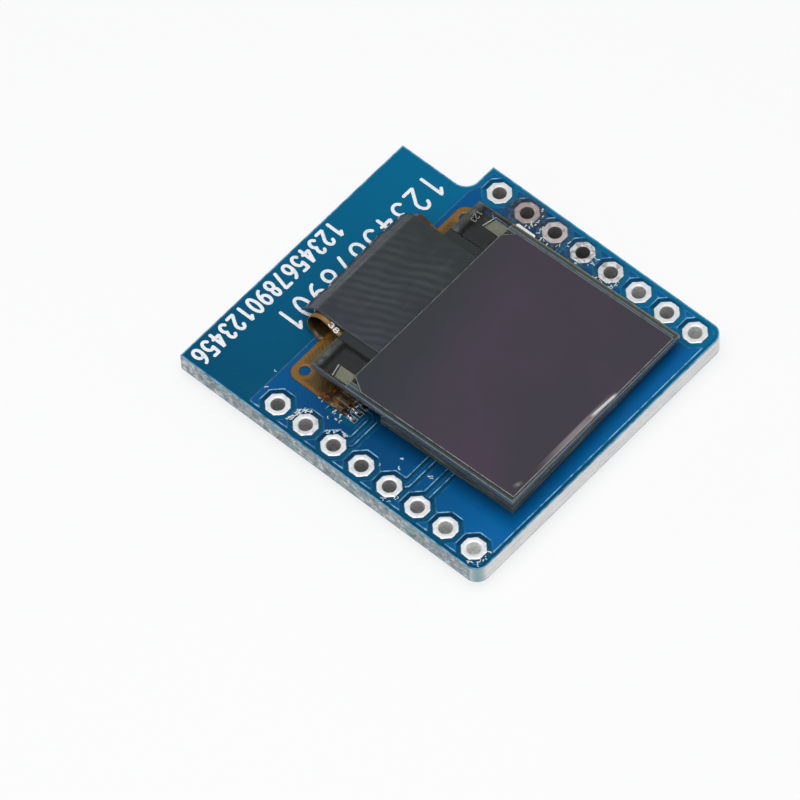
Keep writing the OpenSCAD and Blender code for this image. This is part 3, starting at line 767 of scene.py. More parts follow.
def foldLine(side):
    # the film's middle line at one edge of the neck: bond, rise to the crest, half turn, foot
    half, x = tail["thick"] / 2, tail["neckX"] + side * tail["neck"] / 2
    arm = panel["frontZ"] - tail["filmGap"] - half
    bond, edge, crest = panelSpot([(x, hl - tail["bond"], arm), (x, hl + tail["edgeOut"], arm),
                                   (x, hl + tail["foldOut"], arm + tail["foldRise"])])
    low = board["top"] + half
    r = (crest[2] - low) / 2
    turnY = crest[1] - r
    t = np.linspace(0, 1, tail["riseCount"], endpoint=False)
    way = 3 * (1 - t) * t * (0.45 * (1 - t) + 0.55 * t) + t ** 3
    rise = np.stack([between(edge[0], crest[0], t), between(edge[1], turnY, way),
                     between(edge[2], crest[2], smoothStep(t, 0, 1))], 1)
    a = np.linspace(0, math.pi, tail["turnCount"])
    loop = np.stack([between(crest[0], x, a / math.pi), turnY + r * np.sin(a), low + r * (1 + np.cos(a))], 1)
    return np.concatenate([[bond], rise, loop, [[x, tail["footTop"] - tail["endBack"], low]]])


def footField(x, y):
    w, r, n, top = tail["foot"] / 2, tail["footRound"], tail["neckRound"], tail["footTop"]
    d = rounded(boxField(x, y, -w, w, tail["footEnd"], top), np.abs(x) - (w - r), y - (top - r), r)
    fromNeck = np.abs(x - tail["neckX"])
    wx, wy = fromNeck - (tail["neck"] / 2 + n), y - (top + n)
    web = (wx < 0) & (wy < 0) & (y > top - 0.02) & (fromNeck > tail["neck"] / 2)
    d = np.minimum(d, np.where(web, n - np.hypot(wx, wy), 9.0))
    holes = np.hypot(np.abs(x) - w + tail["holeSide"], y - top + tail["holeTop"])
    return np.maximum(d, tail["holeRadius"] - holes)


def footLoops():
    w, r, n, top = tail["foot"] / 2, tail["footRound"], tail["neckRound"], tail["footTop"]
    right, left = tail["neckX"] + tail["neck"] / 2, tail["neckX"] - tail["neck"] / 2
    rim = np.concatenate([[(-w, tail["footEnd"]), (w, tail["footEnd"])], arc(w - r, top - r, r, 0, 90, 10),
                          arc(right + n, top + n, n, 270, 180, 8), arc(left - n, top + n, n, 360, 270, 8),
                          arc(-w + r, top - r, r, 90, 180, 10)])
    return [rim] + [arc(s * (w - tail["holeSide"]), top - tail["holeTop"], tail["holeRadius"], 0, 345, 24)
                    for s in (-1, 1)]


def flexLook():
    look = Look("polyimide", "#a8701d", 0.3)
    look.tone = look.ramp(look.noise(2.2, 3), (0.3, "#4d3c1c"), (0.52, "#6d5527"), (0.75, "#866a31"))
    traces = look.fade(look.calc("PINGPONG", look.value("trace"), 0.5), 0.18, 0.32)
    look.tint(look.times(traces, 0.28), "#4a3616")
    look.tint(look.times(look.fade(look.value("rim"), -0.4, -0.2), 0.75), "#93651f")
    # the loop's hollow side is painted darker as shade: the points nearer to the loop's axis than the film's middle
    # line
    turnY, crestZ = foldLine(-1)[1 + tail["riseCount"], 1:]
    low = board["top"] + tail["thick"] / 2
    r = (crestZ - low) / 2
    _, y, z = look.xyz()
    fromAxis = look.combined(look.minus(y, turnY * mm), look.minus(z, (low + r) * mm), 0)
    hollow = look.times(look.fade(look.vector("LENGTH", fromAxis)["Value"], (r + 0.01) * mm, (r - 0.03) * mm),
                        look.fade(y, (turnY - 0.6) * mm, turnY * mm))
    look.tint(look.times(hollow, 0.75), "#1c170c")
    # grime near the solder joints, partly painted shadow where they lie in the panel's shade, bare copper there, and
    # the dark bond under the glass
    joints = look.value("joints")
    look.tint(look.times(look.blots(0.7, 4, 0.34, 0.54, 0.2, 0.95, rough=0.65), joints), "#241b12")
    look.tint(look.times(look.blots(0.45, 4, 0.56, 0.66, 0, 0.9, rough=0.65), joints), "#a24a28")
    look.tint(look.times(look.value("bonded"), 0.94), "#1d1f1e")
    look.set("Roughness", look.blots(0.8, 3, 0.3, 0.7, 0.22, 0.4))
    look.bump(look.plus(look.times(traces, 0.4), look.times(look.noise(1.5, 2), 0.5)), 0.02, 0.7)
    return look.done()


def makeFlex():
    flat, faces = trimmedSheet(footLoops(), tail["spacing"], footField)
    x, y = flat.T
    foot = np.column_stack([flat, np.full(len(flat), board["top"] + tail["thick"] / 2)])
    share = np.linspace(0, 1, tail["columns"])
    loop = between(foldLine(-1)[:, None], foldLine(1)[:, None], share[:, None])
    rows, cols = loop.shape[:2]
    shape = joined([(foot, faces), (loop.reshape(-1, 3), gridFaces(rows, cols)[:, ::-1])])
    # the traces draw together from the contacts to the neck
    across = (share - 0.5) * tail["neck"]
    gather = 1 - contacts["gather"] * smoothStep(y, tail["footEnd"] + 1.4, tail["footTop"] - 0.1)
    trace = x / (contacts["pitch"] * gather), across / (contacts["pitch"] * (1 - contacts["gather"]))
    # distance from the film's rim, how near the solder joints a point lies, and what is bonded under the glass
    rim = footField(x, y), np.abs(across) - tail["neck"] / 2
    joints = 1 - smoothStep(y, tail["footEnd"] + 1.6, tail["footEnd"] + 3.6), 0 * across
    values = {key: np.concatenate([one, np.tile(other, rows)])
              for key, (one, other) in {"trace": trace, "rim": rim, "joints": joints}.items()}
    values["bonded"] = np.concatenate([0 * x, np.repeat(np.arange(rows) < 2, cols)])
    piece = addPiece("flexTail", *shape, **values)
    solidify(piece, tail["thick"], 0)
    finish(piece, flexLook(), "polyimide", "flex_tail")


def goldLook():
    look = Look("gold", (0.86, 0.66, 0.33), 0.28, 1.0)
    look.tone = look.ramp(look.noise(0.5, 3), (0.3, (0.6, 0.42, 0.2)), (0.7, (0.8, 0.62, 0.34)))
    # dark blotches: grime, and painted shadow where the contacts lie in the panel's shade
    grimeAndShade = look.blots(0.6, 4, 0.36, 0.52, rough=0.65)
    look.tint(look.times(grimeAndShade, 0.9), "#2b2118")
    look.set("Metallic", look.scaled(grimeAndShade, -0.8, 1.0))
    look.bump(look.noise(0.2, 3), 0.006, 0.6)
    return look.done()


def makeContacts():
    low, end = board["top"] + tail["thick"], tail["footEnd"]
    parts = [slab(roundRect(*contactBox(i, 0, end, end + contacts["length"]), 0.06, 3),
                  edgeProfile(low + contacts["high"], low, 0.012, 3)) for i in range(1, contacts["count"] + 1)]
    finish(addPiece("flexContacts", *joined(parts), angle=38), goldLook(), "gold", "flex_contacts")


def archFaces(rows, cols):
    # a row of arches, each closed by its own floor, with a face over both ends
    last = (rows - 1) * cols
    return gridFaces(rows, cols, wrapCols=True).tolist() + [list(range(cols)), list(range(last, last + cols))[::-1]]


def makeFlexSolder():
    # height over the land: a toe that rises in a hollow curve to the film's edge, then a low crown on the contact
    rows, cols, top, thick = 22, 9, board["top"], tail["thick"]
    along, turn = np.linspace(-0.6, 0.35, rows)[:, None], np.radians(np.linspace(0, 180, cols))
    hollow = 0.02 + (thick + 0.05) * smoothStep(along, -0.62, -0.02) ** 1.3
    height = np.where(along < 0, hollow, thick + 0.07 - 0.045 * smoothStep(along, 0.05, 0.35))
    floor = np.where(along < 0, top - 0.03, top + thick + contacts["high"])
    parts = []
    for i in range(1, contacts["count"] + 1):
        w = contacts["width"] / 2 * (1 - 0.12 * np.cos(3 * i + along * 5))
        lift = np.maximum(top + height * (1 + 0.08 * math.sin(2.3 * i)) - floor, 0.004)
        points = np.stack([contactX(i) + w * np.cos(turn), np.broadcast_to(tail["footEnd"] + along, (rows, cols)),
                           floor + lift * np.sin(turn) ** 0.6], -1)
        parts.append((points.reshape(-1, 3), archFaces(rows, cols)))
    finish(addPiece("flexSolder", *joined(parts), angle=60), jointSolder, "solder", "flex_solder")


makeFlex()
makeContacts()
makeFlexSolder()
print("flex tail made")

# the panel: two glasses, what lies between them, and the film on top; the lines are fine stripes in the glass's border
glass = {"edge": 0.025, "borderWidth": 0.64, "shadeFromTape": 6.0,
         "lines": ((0.0, "#848985"), (0.1, "#5f6866"), (0.17, "#39464a"), (0.48, "#465459"), (0.56, "#7c8886"),
                   (0.64, "#4d5a5e"), (0.9, "#57646a"))}


def glassLook(name, tint, inner, clear, side, framed=False):
    look = Look(name, tint, 0.05)
    flank = look.value("flank")
    look.tone = look.ramp(look.noise(4, 2), (0.35, tint), (0.65, inner))
    x, y, z = look.inPanel()
    passes = clear
    if framed:
        # outside the film a dull border with fine lines round the panel, and a thin rim round the ledge drawn with the
        # border's lines
        sideWay, frontWay, backWay = look.minus(hw, look.absolute(x)), look.plus(y, hl), look.minus(hl, y)
        way, ledgeY = look.least(sideWay, frontWay), panel["ledgeY"]
        border = look.times(look.fade(way, 0.66, 0.58), look.fade(y, ledgeY + 0.05, ledgeY - 0.05))
        ledgeRim = look.most(look.fade(sideWay, 0.12, 0.05), look.fade(backWay, 0.18, 0.08))
        border = look.most(border, look.times(ledgeRim, 0.55))
        lines = look.ramp(look.calc("DIVIDE", look.least(way, backWay), glass["borderWidth"]), *glass["lines"])
        lines = look.mix(look.blots(0.5, 4, 0.45, 0.7, 0, 0.5, rough=0.65), lines, "#39403f")
        olive = look.times(look.fade(x, hw - 0.16, hw - 0.02), look.blots(0.9, 3, 0.35, 0.6, 0.3, 1.0))
        lines = look.mix(olive, lines, "#94873f")
        # towards the ledge's rim the glass is hazy; every tint starts a little before the glass stops passing light
        ledgeZone = look.fade(y, ledgeY - 0.02, ledgeY + 0.02)
        patchy = look.times(ledgeZone, look.blots(0.7, 4, 0.3, 0.6, 0.8, 1.0))
        tinted = look.most(look.fade(sideWay, 0.23, 0.2), look.fade(backWay, 0.84, 0.76))
        look.tint(look.times(patchy, tinted), "#4a504a")
        look.tint(border, lines)
        hazy = look.most(look.fade(sideWay, 0.2, 0.1, 0.0, 0.7), look.fade(backWay, 0.76, 0.3, 0.0, 0.75))
        # painted shade on the ledge's underside beside the tape: a dark wash standing in for the shaded gap under the
        # ledge
        fromTape, shadeFromTape = look.absolute(look.minus(x, tail["neckX"])), glass["shadeFromTape"]
        look.tint(look.times(look.fade(fromTape, shadeFromTape + 0.1, shadeFromTape + 0.06), ledgeZone), "#2c3231")
        border = look.most(border, look.times(patchy, hazy),
                           look.times(look.fade(fromTape, shadeFromTape + 0.05, shadeFromTape - 0.05), ledgeZone))
        passes = look.scaled(border, 0.06 - clear, clear)
    layers = look.noise(1.0, 2, 0.5, look.drawnOut(x, y, z, 0.3, 9.0))
    shades = [(at, tuple(k * c for c in side)) for at, k in ((0.3, 1), (0.55, 1.5), (0.75, 3.2))]
    look.tint(flank, look.ramp(layers, *shades))
    look.set("Roughness", look.blots(1.5, 4, 0.45, 0.75, 0.04, 0.14))
    look.set("Transmission Weight", look.times(passes, look.scaled(flank, -0.9, 1.0)))
    look.set("IOR", 1.5)
    return look.done()


def glassSlab(name, loop, top, bottom, pocket=()):
    # a pocket's floor and wall come before the rim
    profile = np.array([*pocket, *edgeProfile(top, bottom, glass["edge"], 3)])
    return panelSlab(name, loop, profile, flank=profile[:, 0] < 0.001)


def filmLoop():
    left, right, low, top, cut = -hw + 0.25, hw - 0.6, -hl + 0.1, panel["ledgeY"], 0.8
    return np.array([(left, low), (right, low), (right, top - cut), (right - cut, top), (left + cut, top),
                     (left, top - 1.5 * cut)])


def band(look, start, end, width, soft):
    # 1 inside a straight band between two spots of the panel, fading to 0 over its width
    a, b = (panelSpot([*spot, panel["topZ"]])[:2] * mm for spot in (start, end))
    length = float(np.linalg.norm(b - a))
    way = (b - a) / length
    where = look.vector("SUBTRACT", look.place(), (*a, 0))[0]
    along, off = look.dot(where, (*way, 0)), look.dot(where, (-way[1], way[0], 0))
    return look.times(look.fade(along, 0, soft * mm), look.fade(along, length, length - soft * mm),
                      look.fade(look.absolute(off), width * mm, width * 0.4 * mm))


def screenLook():
    look = Look("screenFilm", "#3c3944", 0.12)
    x, y, _ = look.xyz()
    # the film's tones are a painted reflection of the room: a broad gradient across the screen with soft purple
    # blotches; towards the ledge it is darker
    paintedReflection = look.plus(look.fade(look.plus(look.times(y, 700.0), look.times(x, -350.0)), -7.0, 8.0),
                      look.scaled(look.noise(6, 2), 0.5, -0.25))
    look.tone = look.ramp(paintedReflection, (0.02, "#3a343f"), (0.22, "#423645"), (0.42, "#3d3642"), (0.7, "#31353d"),
                          (0.95, "#293438"))
    look.tint(look.blots(5, 2, 0.55, 0.7, 0, 0.3), "#473749")
    look.tint(look.fade(look.inPanel()[1], 1.0, 5.8, 0.0, 0.45), "#2a2f33")
    # the film's rim, painted light grey in patches as worn film and as a painted highlight on its edge, then a wedge, a
    # streak and a smudge along its front edge
    look.tint(look.times(look.value("rim"), look.blots(0.5, 3, 0.3, 0.6, 0.25, 0.9)), "#8d918c")
    look.tint(look.times(band(look, (-6.6, -8.62), (3.0, -8.6), 0.3, 4.5), 0.62), "#a3979c")
    look.tint(look.times(band(look, (-0.4, -8.6), (2.5, -8.72), 0.13, 0.6), 0.85), "#dfe2e2")
    smudge = look.times(band(look, (-8.2, -8.2), (-7.3, -8.5), 0.2, 0.5), look.blots(0.25, 3, 0.3, 0.6, 0.2, 0.7))
    look.tint(smudge, "#8d9298")
    look.set("Roughness", look.blots(2.5, 5, 0.45, 0.8, 0.08, 0.2, rough=0.65))
    look.set("Coat Weight", 0.5)
    look.set("Coat Roughness", 0.04)
    look.bump(look.noise(6, 2), 0.01, 0.3)
    return look.done()


def makeGlasses():
    front = glassSlab("frontGlass", roundRect(-hw, hw, -hl, hl, 0.06, 3), panel["topZ"], panel["frontZ"] + 0.015)
    frontLook = glassLook("frontGlass", (0.9, 0.925, 0.9), (0.86, 0.9, 0.87), 1.0, (0.055, 0.068, 0.082), True)
    finish(front, frontLook, "display_glass", "front_glass")
    inset, seal, top = panel["inset"], panel["sealWidth"], panel["glass"] - 0.001
    rear = glassSlab("rearGlass", rectLoop(-hw + inset, hw - inset, -hl + inset, panel["ledgeY"] - inset), top, 0.0,
                     [(seal, panel["glass"] - panel["pocket"]), (seal, top)])
    rearLook = glassLook("rearGlass", "#4a5347", "#5a604c", 0.2, (0.07, 0.08, 0.068))
    finish(rear, rearLook, "display_glass", "rear_glass")


def makeFilm():
    # inset, height over the glass, and how much worn rim and painted edge highlight the film has there
    rows = np.array([(0.32, 0.18, 0), (0.07, 0.18, 0), (0.045, 0.178, 1), (0.014, 0.168, 1), (0.0, 0.14, 0.4),
                     (0.0, 0.02, 0), (0.02, 0.002, 0)])
    film = panelSlab("polarizerFilm", filmLoop(), rows[:, :2] + (0, panel["topZ"]), rim=rows[:, 2])
    finish(film, screenLook(), "screen_film", "polarizer")


def foamLook():
    # dark foam with lengthwise streaks along its cut sides
    look = Look("foam", "#4a504f", 0.95)
    drawn = look.drawnOut(*look.inPanel(), 0.35, 5.0)
    look.tone = look.ramp(look.noise(1.0, 3, 0.6, drawn), (0.34, "#30383c"), (0.5, "#4c5654"), (0.62, "#6f7a70"),
                          (0.75, "#8a8f7c"))
    look.tint(look.blots(0.25, 3, 0.45, 0.7, 0, 0.4), "#353c40")
    look.bump(look.noise(0.2, 3), 0.05, 0.3)
    return look.done()


makeGlasses()
makeFilm()
dress(foamLook(), "foam_pad")
# look, its two tones, blotch size, roughness, shine and node
for name, low, high, size, roughness, shine, node in (
        ("litStack", "#26242c", "#302c38", 2.5, 0.5, 0.1, "lit_layer"),
        ("seal", "#2f3634", "#434a46", 0.8, 0.6, 0.1, "glass_seal"),
        ("desiccant", "#cfccc2", "#e4e2da", 1.0, 0.8, 0.5, "desiccant_film"),
        ("bondingFilm", "#22211e", "#2b2a26", 0.5, 0.7, 0.05, "bonding_film"),
        # the dark layer under the ledge is painted shade, standing in for the shaded gap under the ledge
        ("ledgeShade", "#202423", "#292d2b", 1.8, 0.8, 0.03, "ledge_print")):
    dress(plainLook(name, (low, high), size, roughness, shine=shine), node)

# electrodes on the ledge: a slanting pad and a bright guard line along its top and outer side, with a mitred corner
electrode = {"side": 0.3, "width": 1.05, "length": 1.3, "gap": 0.07, "line": 0.07, "slant": 0.25, "trim": 0.07,
             "foot": 0.1, "under": 0.001, "thick": 0.018}


def flatPlate(loop, top, bottom):
    # a straight-sided plate whose lids are cut into triangles, so that the outline may bend inwards
    x, y = loop.T
    if (x * np.roll(y, -1) - np.roll(x, -1) * y).sum() <= 0:
        loop = loop[::-1]
    out = geometry.delaunay_2d_cdt([Vector(p) for p in loop.tolist()], [], [list(range(len(loop)))], 1, 1e-6)
    flat, lid = np.array([tuple(v) for v in out[0]]), np.array(out[2])
    n = len(flat)
    rim = np.array([int(np.argmin(np.hypot(*(flat - p).T))) for p in loop])
    onward = np.roll(rim, -1)
    walls = np.stack([rim, rim + n, onward + n, onward], 1)
    points = np.concatenate([np.column_stack([flat, np.full(n, z)]) for z in (top, bottom)])
    return points, lid.tolist() + (lid[:, ::-1] + n).tolist() + walls.tolist()


def makeElectrode(word, s, mat):
    slant, trim, low = electrode["slant"], electrode["trim"], panel["ledgeY"]
    right, top = hw - electrode["side"], low + electrode["length"]
    left, inner, outer = right - electrode["width"], electrode["gap"], electrode["gap"] + electrode["line"]
    pad = [(left, low + electrode["foot"]), (right - trim, low + electrode["foot"]), (right - trim, top - trim),
           (left, top + slant - trim)]
    guard = [(left, top + slant + inner), (right + inner, top + inner), (right + inner, low), (right + outer, low),
             (right + outer, top + outer * 0.9), (left, top + slant + outer)]
    high = panel["frontZ"] - electrode["under"]
    parts = [flatPlate(np.array(loop) * (s, 1), high, high - electrode["thick"]) for loop in (pad, guard)]
    points, faces = joined(parts)
    bright = np.repeat([0, 1], [len(p) for p, _ in parts])
    piece = addPiece(word + "Electrode", panelSpot(points), faces, smooth=False, bright=bright)
    finish(piece, mat, "electrode", word + "_electrode")


def electrodeLook():
    look = Look("electrode", "#a9aa8e", 0.4, 0.2)
    look.tone = look.ramp(look.noise(0.5, 3), (0.3, "#a29d88"), (0.7, "#b9b49e"))
    look.tint(look.value("bright"), (1.0, 1.0, 0.98))
    look.bump(look.noise(0.12, 3), 0.006)
    return look.done()


electrodes = electrodeLook()
for word, s in (("left", -1), ("right", 1)):
    makeElectrode(word, s, electrodes)

driver = {"out": 0.95, "width": 9.6, "length": 1.0, "thick": 0.3}
chip = panelSlab("driverChip", blockLoop(0, panel["ledgeY"] + driver["out"], driver["width"], driver["length"], 0.05),
                 edgeProfile(panel["frontZ"] - 0.001, panel["frontZ"] - driver["thick"], 0.03))
finish(chip, plainLook("chip", ("#22242a", "#2e3136"), 0.8, 0.4, shine=0.15), "chip", "driver_chip")
print("panel made")

# the light-shield tape: from the ledge over the fold, free at its lip
tape = {"width": 10.5, "x": -0.15, "thick": 0.06, "lip": 0.95, "wave": 0.05, "bulge": 0.12, "along": 90, "across": 80,
        "crestBack": 0.72, "clear": 0.03, "tip": -0.03}


def curve(a, b, c, d, count):
    t = np.linspace(0, 1, count)[:, None]
    u = 1 - t
    return u ** 3 * a + 3 * u * u * t * b + 3 * u * t * t * c + t ** 3 * d


def tapeLine():
    z, foldY = panel["topZ"] + tape["thick"] / 2, hl + tail["foldOut"]
    overFilm = panel["frontZ"] - tail["filmGap"] + tail["foldRise"] + tape["thick"] / 2 + tape["clear"]
    start, end = np.array([hl, z]), np.array([foldY + tape["lip"], tape["tip"]])
    crest = np.array([foldY - tape["crestBack"], max(z, overFilm)])
    line = np.concatenate([[(panel["ledgeY"] + 0.03, z), (hl - 1.5, z)],
                           curve(start, start + (0.7, 0), crest - (0.7, 0), crest, 30),
                           curve(crest, crest + (0.65, 0), end + (-0.4, 0.66), end, 50)[1:]])
    length = lengthAlong(line)
    at = np.linspace(0, length[-1], tape["along"])
    return np.stack([np.interp(at, length, one) for one in line.T], 1), at / at[-1]


def tapeLook():
    look = Look("blackTape", "#33383c", 0.32)
    x, y, _ = look.xyz()
    # slanting bands half a millimetre apart, bent a little and fading in and out
    run = look.plus(look.plus(look.times(x, 1270.0), look.times(y, 600.0)), look.scaled(look.noise(5.0, 2), 1.6, -0.8))
    bands = look.times(look.fade(look.calc("PINGPONG", run, 0.5), 0.0, 0.5), look.blots(3.4, 2, 0.3, 0.66))
    look.tone = look.ramp(look.scaled(x, 60.0, 0.5), (0.1, "#343840"), (0.5, "#30353a"), (0.9, "#2c3432"))
    look.tint(look.times(bands, 0.24), "#5a6468")
    fibre = look.noise(1.0, 3, 0.6, look.stretched((260, 1500, 260), (0, 0, math.radians(28))))
    look.tint(look.fade(fibre, 0.55, 0.75, 0, 0.3), "#444b50")
    look.tint(look.times(look.fade(look.value("along"), 0.8, 0.93), 0.6), "#1c232b")
    look.set("Roughness", look.blots(1.1, 4, 0.35, 0.7, 0.22, 0.38))
    look.bump(look.plus(look.times(bands, 0.5), look.times(look.noise(0.3, 3), 0.4)), 0.012, 0.6)
    return look.done()


def makeTape():
    line, share = tapeLine()
    x = np.linspace(-0.5, 0.5, tape["across"])
    slope = np.gradient(line, axis=0)
    slope /= np.linalg.norm(slope, axis=1)[:, None]
    ripple = tape["wave"] * np.sin(9.5 * x + 0.8) + tape["bulge"] * np.exp(-((x - 0.33) / 0.13) ** 2)
    out = smoothStep(share, 0.78, 1.0)[:, None] * (ripple + 0.02 * np.sin(31 * x))
    points = np.stack([np.broadcast_to(tape["x"] + tape["width"] * x, out.shape), line[:, :1] - slope[:, 1:] * out,
                       line[:, 1:] + slope[:, :1] * out], -1)
    piece = addPiece("lightShieldTape", panelSpot(points).reshape(-1, 3), gridFaces(*out.shape)[:, ::-1],
                     along=np.repeat(share, tape["across"]))
    solidify(piece, tape["thick"], 0)
    finish(piece, tapeLook(), "black_tape", "light_shield_tape")


makeTape()
print("tape made")


def boardLine(start, end, y, height, count):
    step = (end - start) / count
    return {"digits": [k % 10 for k in range(1, count + 1)], "at": (start + 0.18 * step, y + height / 2),
            "step": (step, 0), "wide": (0.98 * step, 0), "high": (0, -height)}


# ink strokes with round ends, raised a little over what they lie on; a run has its first digit's corner, the step to
# the next one, and a digit's own directions
ink = {"half": 0.13, "lift": 0.018,
       "lines": [boardLine(2.2, -12.45, 12.4, 1.35, 16), boardLine(9.5, -6.5, 9.7, 1.9, 11)],
       "bar": [(10.22, 3.02), (10.22, 1.66)], "barHalf": 0.16,
       "tail": {"digits": (3, 8), "at": (0.07, 10.08), "step": (0, -0.42), "wide": (0, -0.5), "high": (0.36, 0)},
       "glass": {"digits": (1, 2, 3), "at": (8.3, 8.42), "step": (-0.34, -0.03), "wide": (-0.42, 0),
                 "high": (0, -0.44)}}


def ring(cx, cy, rx, ry, start=90, end=450, count=28):
    return spin(cx, cy, rx, ry, start, end, count)


# each digit as strokes in a cell 0.6 wide and 1 high; a stroke is joined up from its runs of spots
digitStrokes = [[[ring(0.3, 0.5, 0.3, 0.5)]], [[[(0.08, 0.8), (0.32, 1), (0.32, 0)]]],
                [[ring(0.3, 0.7, 0.28, 0.3, 160, -25, 16), [(0, 0), (0.6, 0)]]],
                [[ring(0.3, 0.76, 0.24, 0.24, 150, -70, 14), ring(0.3, 0.27, 0.29, 0.27, 80, -150, 16)]],
                [[[(0.45, 0), (0.45, 1), (0, 0.3), (0.6, 0.3)]]],
                [[[(0.54, 1), (0.08, 1), (0.05, 0.55)], ring(0.28, 0.32, 0.31, 0.32, 115, -145, 18)]],
                [[ring(0.3, 0.3, 0.3, 0.3)], [ring(0.5, 0.35, 0.5, 0.62, 100, 178, 10)]],
                [[[(0, 1), (0.6, 1), (0.22, 0)]]], [[ring(0.3, 0.75, 0.23, 0.25)], [ring(0.3, 0.26, 0.29, 0.26)]],
                [[ring(0.3, 0.7, 0.3, 0.3)], [ring(0.1, 0.65, 0.5, 0.62, 2, -80, 10)]]]


def stroke(path, half, lift, lay):
    # the section is a low arch over a flat foot, carried along the path; its width closes as a half circle at both ends
    length = lengthAlong(path)
    cap = half * np.sin(np.radians(np.linspace(90, 0, 6, endpoint=False)))
    s = np.concatenate([-cap, np.linspace(0, length[-1], max(4, int(length[-1] / 0.05))), length[-1] + cap[::-1]])
    on = np.clip(s, 0, length[-1])
    middle = np.stack([np.interp(on, length, one) for one in path.T], 1)
    way = np.gradient(middle, axis=0)
    way[:6], way[-6:] = path[1] - path[0], path[-1] - path[-2]
    way /= np.maximum(np.linalg.norm(way, axis=1), 1e-9)[:, None]
    over = (s - on)[:, None]
    middle += way * over
    width = half * np.sqrt(np.clip(1 - (over / half) ** 2, 0, 1))
    a = np.radians([0, 30, 60, 90, 120, 150, 180, 270])
    side = np.stack([-way[:, 1], way[:, 0]], 1)
    flat = middle[:, None] + side[:, None] * (width * np.cos(a))[..., None]
    high = np.maximum(np.sin(a), 0) * lift * width / half
    return lay(flat, high).reshape(-1, 3), gridFaces(len(s), len(a), wrapCols=True)[:, ::-1]


def onBoard(flat, high):
    return np.concatenate([flat, (board["top"] + 0.001 + high)[..., None]], -1)


def onGlass(flat, high):
    return panelSpot(np.concatenate([flat, (panel["topZ"] + 0.001 + high)[..., None]], -1))


def onArm(flat, high):
    # from the arm's left edge, in the board's own directions; the arm's upper face follows the film's middle line
    edge = panelSpot([tail["neckX"] - tail["neck"] / 2, 0, 0])
    line = foldLine(-1)[1:1 + tail["riseCount"]]
    x, y = flat[..., 0], flat[..., 1]
    z = np.interp(y, line[:, 1] - edge[1], line[:, 2]) + tail["thick"] / 2
    return np.stack([edge[0] - math.sin(turned) * y + x, edge[1] + y, z + 0.004 + high], -1)


def written(run, half, lift, lay):
    at, step, wide, high = (np.array(run[key]) for key in ("at", "step", "wide", "high"))
    return [stroke(at + k * step + np.concatenate(path) @ [wide, high], half, lift, lay)
            for k, digit in enumerate(run["digits"]) for path in digitStrokes[digit]]


def inkLook():
    look = Look("ink", (0.8, 0.83, 0.85), 0.5)
    look.tone = look.ramp(look.noise(0.45, 5, 0.7), (0.3, "#d6e0e7"), (0.48, "#f8fafb"), (0.75, (1, 1, 1)))
    look.bump(look.noise(0.12, 3), 0.008, 0.7)
    return look.done()


def makeInk():
    legend = [one for line in ink["lines"] for one in written(line, ink["half"], ink["lift"], onBoard)]
    legend.append(stroke(np.array(ink["bar"]), ink["barHalf"], ink["lift"], onBoard))
    tailMarks, glassMarks = written(ink["tail"], 0.05, 0.004, onArm), written(ink["glass"], 0.03, 0.003, onGlass)
    finish(addPiece("legendInk", *joined(legend)), inkLook(), "blue_mask")
    finish(addPiece("tailMarks", *joined(tailMarks)), inkLook(), "blue_mask")
    glassInk = plainLook("glassInk", ("#7c7d74", "#9b9c92"), 0.3)
    finish(addPiece("glassMarks", *joined(glassMarks)), glassInk, "display_glass")


makeInk()
print("ink made")

# flux crumbs by the pins: short crooked threads and grains; an arc is side, pin, start, end and count, a spot is x, y,
# count and spread
flux = {"arcs": [(-1, 2, 20, 110, 34), (-1, 3, -20, 70, 12), (-1, 8, 200, 300, 10), (-1, 5, 190, 260, 8),
                 (1, 2, 190, 330, 14), (1, 3, 100, 250, 10), (1, 4, 80, 300, 9), (1, 5, 150, 260, 12)],
        "spots": [(-9.35, 2.3, 9, 0.42), (-8.7, 2.0, 5, 0.3), (-9.2, 3.9, 2, 0.1), (-8.9, -2.5, 2, 0.5),
                  (-9.6, -3.6, 3, 0.3), (-9.1, -6.1, 3, 0.3), (9.9, 4.6, 4, 0.3), (-10.6, 6.9, 2, 0.6)],
        "thick": (0.022, 0.05), "seed": 7}


def makeFlux():
    chance = np.random.default_rng(flux["seed"])
    centres = []
    for side, pin, start, end, count in flux["arcs"]:
        a = np.radians(chance.uniform(start, end, count))
        r = chance.normal(1.12, 0.1, count)
        centres.append(np.stack([side * pins["rowX"] + r * np.cos(a), pinY(pin) + r * np.sin(a)], 1))
    for x, y, count, spread in flux["spots"]:
        centres.append(np.array([x, y]) + chance.normal(0, spread, (count, 2)))
    parts = []
    for middle in np.concatenate(centres):
        turns = np.cumsum(chance.normal(0, 0.8, 5)) + chance.uniform(0, 6.28)
        path = np.cumsum(np.stack([np.cos(turns), np.sin(turns)], 1) * chance.uniform(0.015, 0.08), 0)
        half = chance.uniform(*flux["thick"])
        parts.append(stroke(path + middle - path[2], half, half * 1.1, onBoard))
    crumbs = plainLook("flux", ("#c6d0d6", "#f4f6f6"), 0.15, 0.6, relief=0.02)
    finish(addPiece("fluxCrumbs", *joined(parts)), crumbs, "blue_mask")


makeFlux()


# small parts on the back
def hung(at, points):
    # a part's own frame to the board's: upside down under the board, turned a quarter where it stands across
    x, y, z = np.moveaxis(points, -1, 0)
    x, y = (-y, x) if at[2] else (x, y)
    return np.stack([at[0] + x, at[1] + y, rearParts["capacitor"]["size"][2] - z], -1)


def hungPiece(name, at, *shapes):
    points, faces = joined(shapes)
    return addPiece(name, hung(at, points), [f[::-1] for f in faces], angle=38)


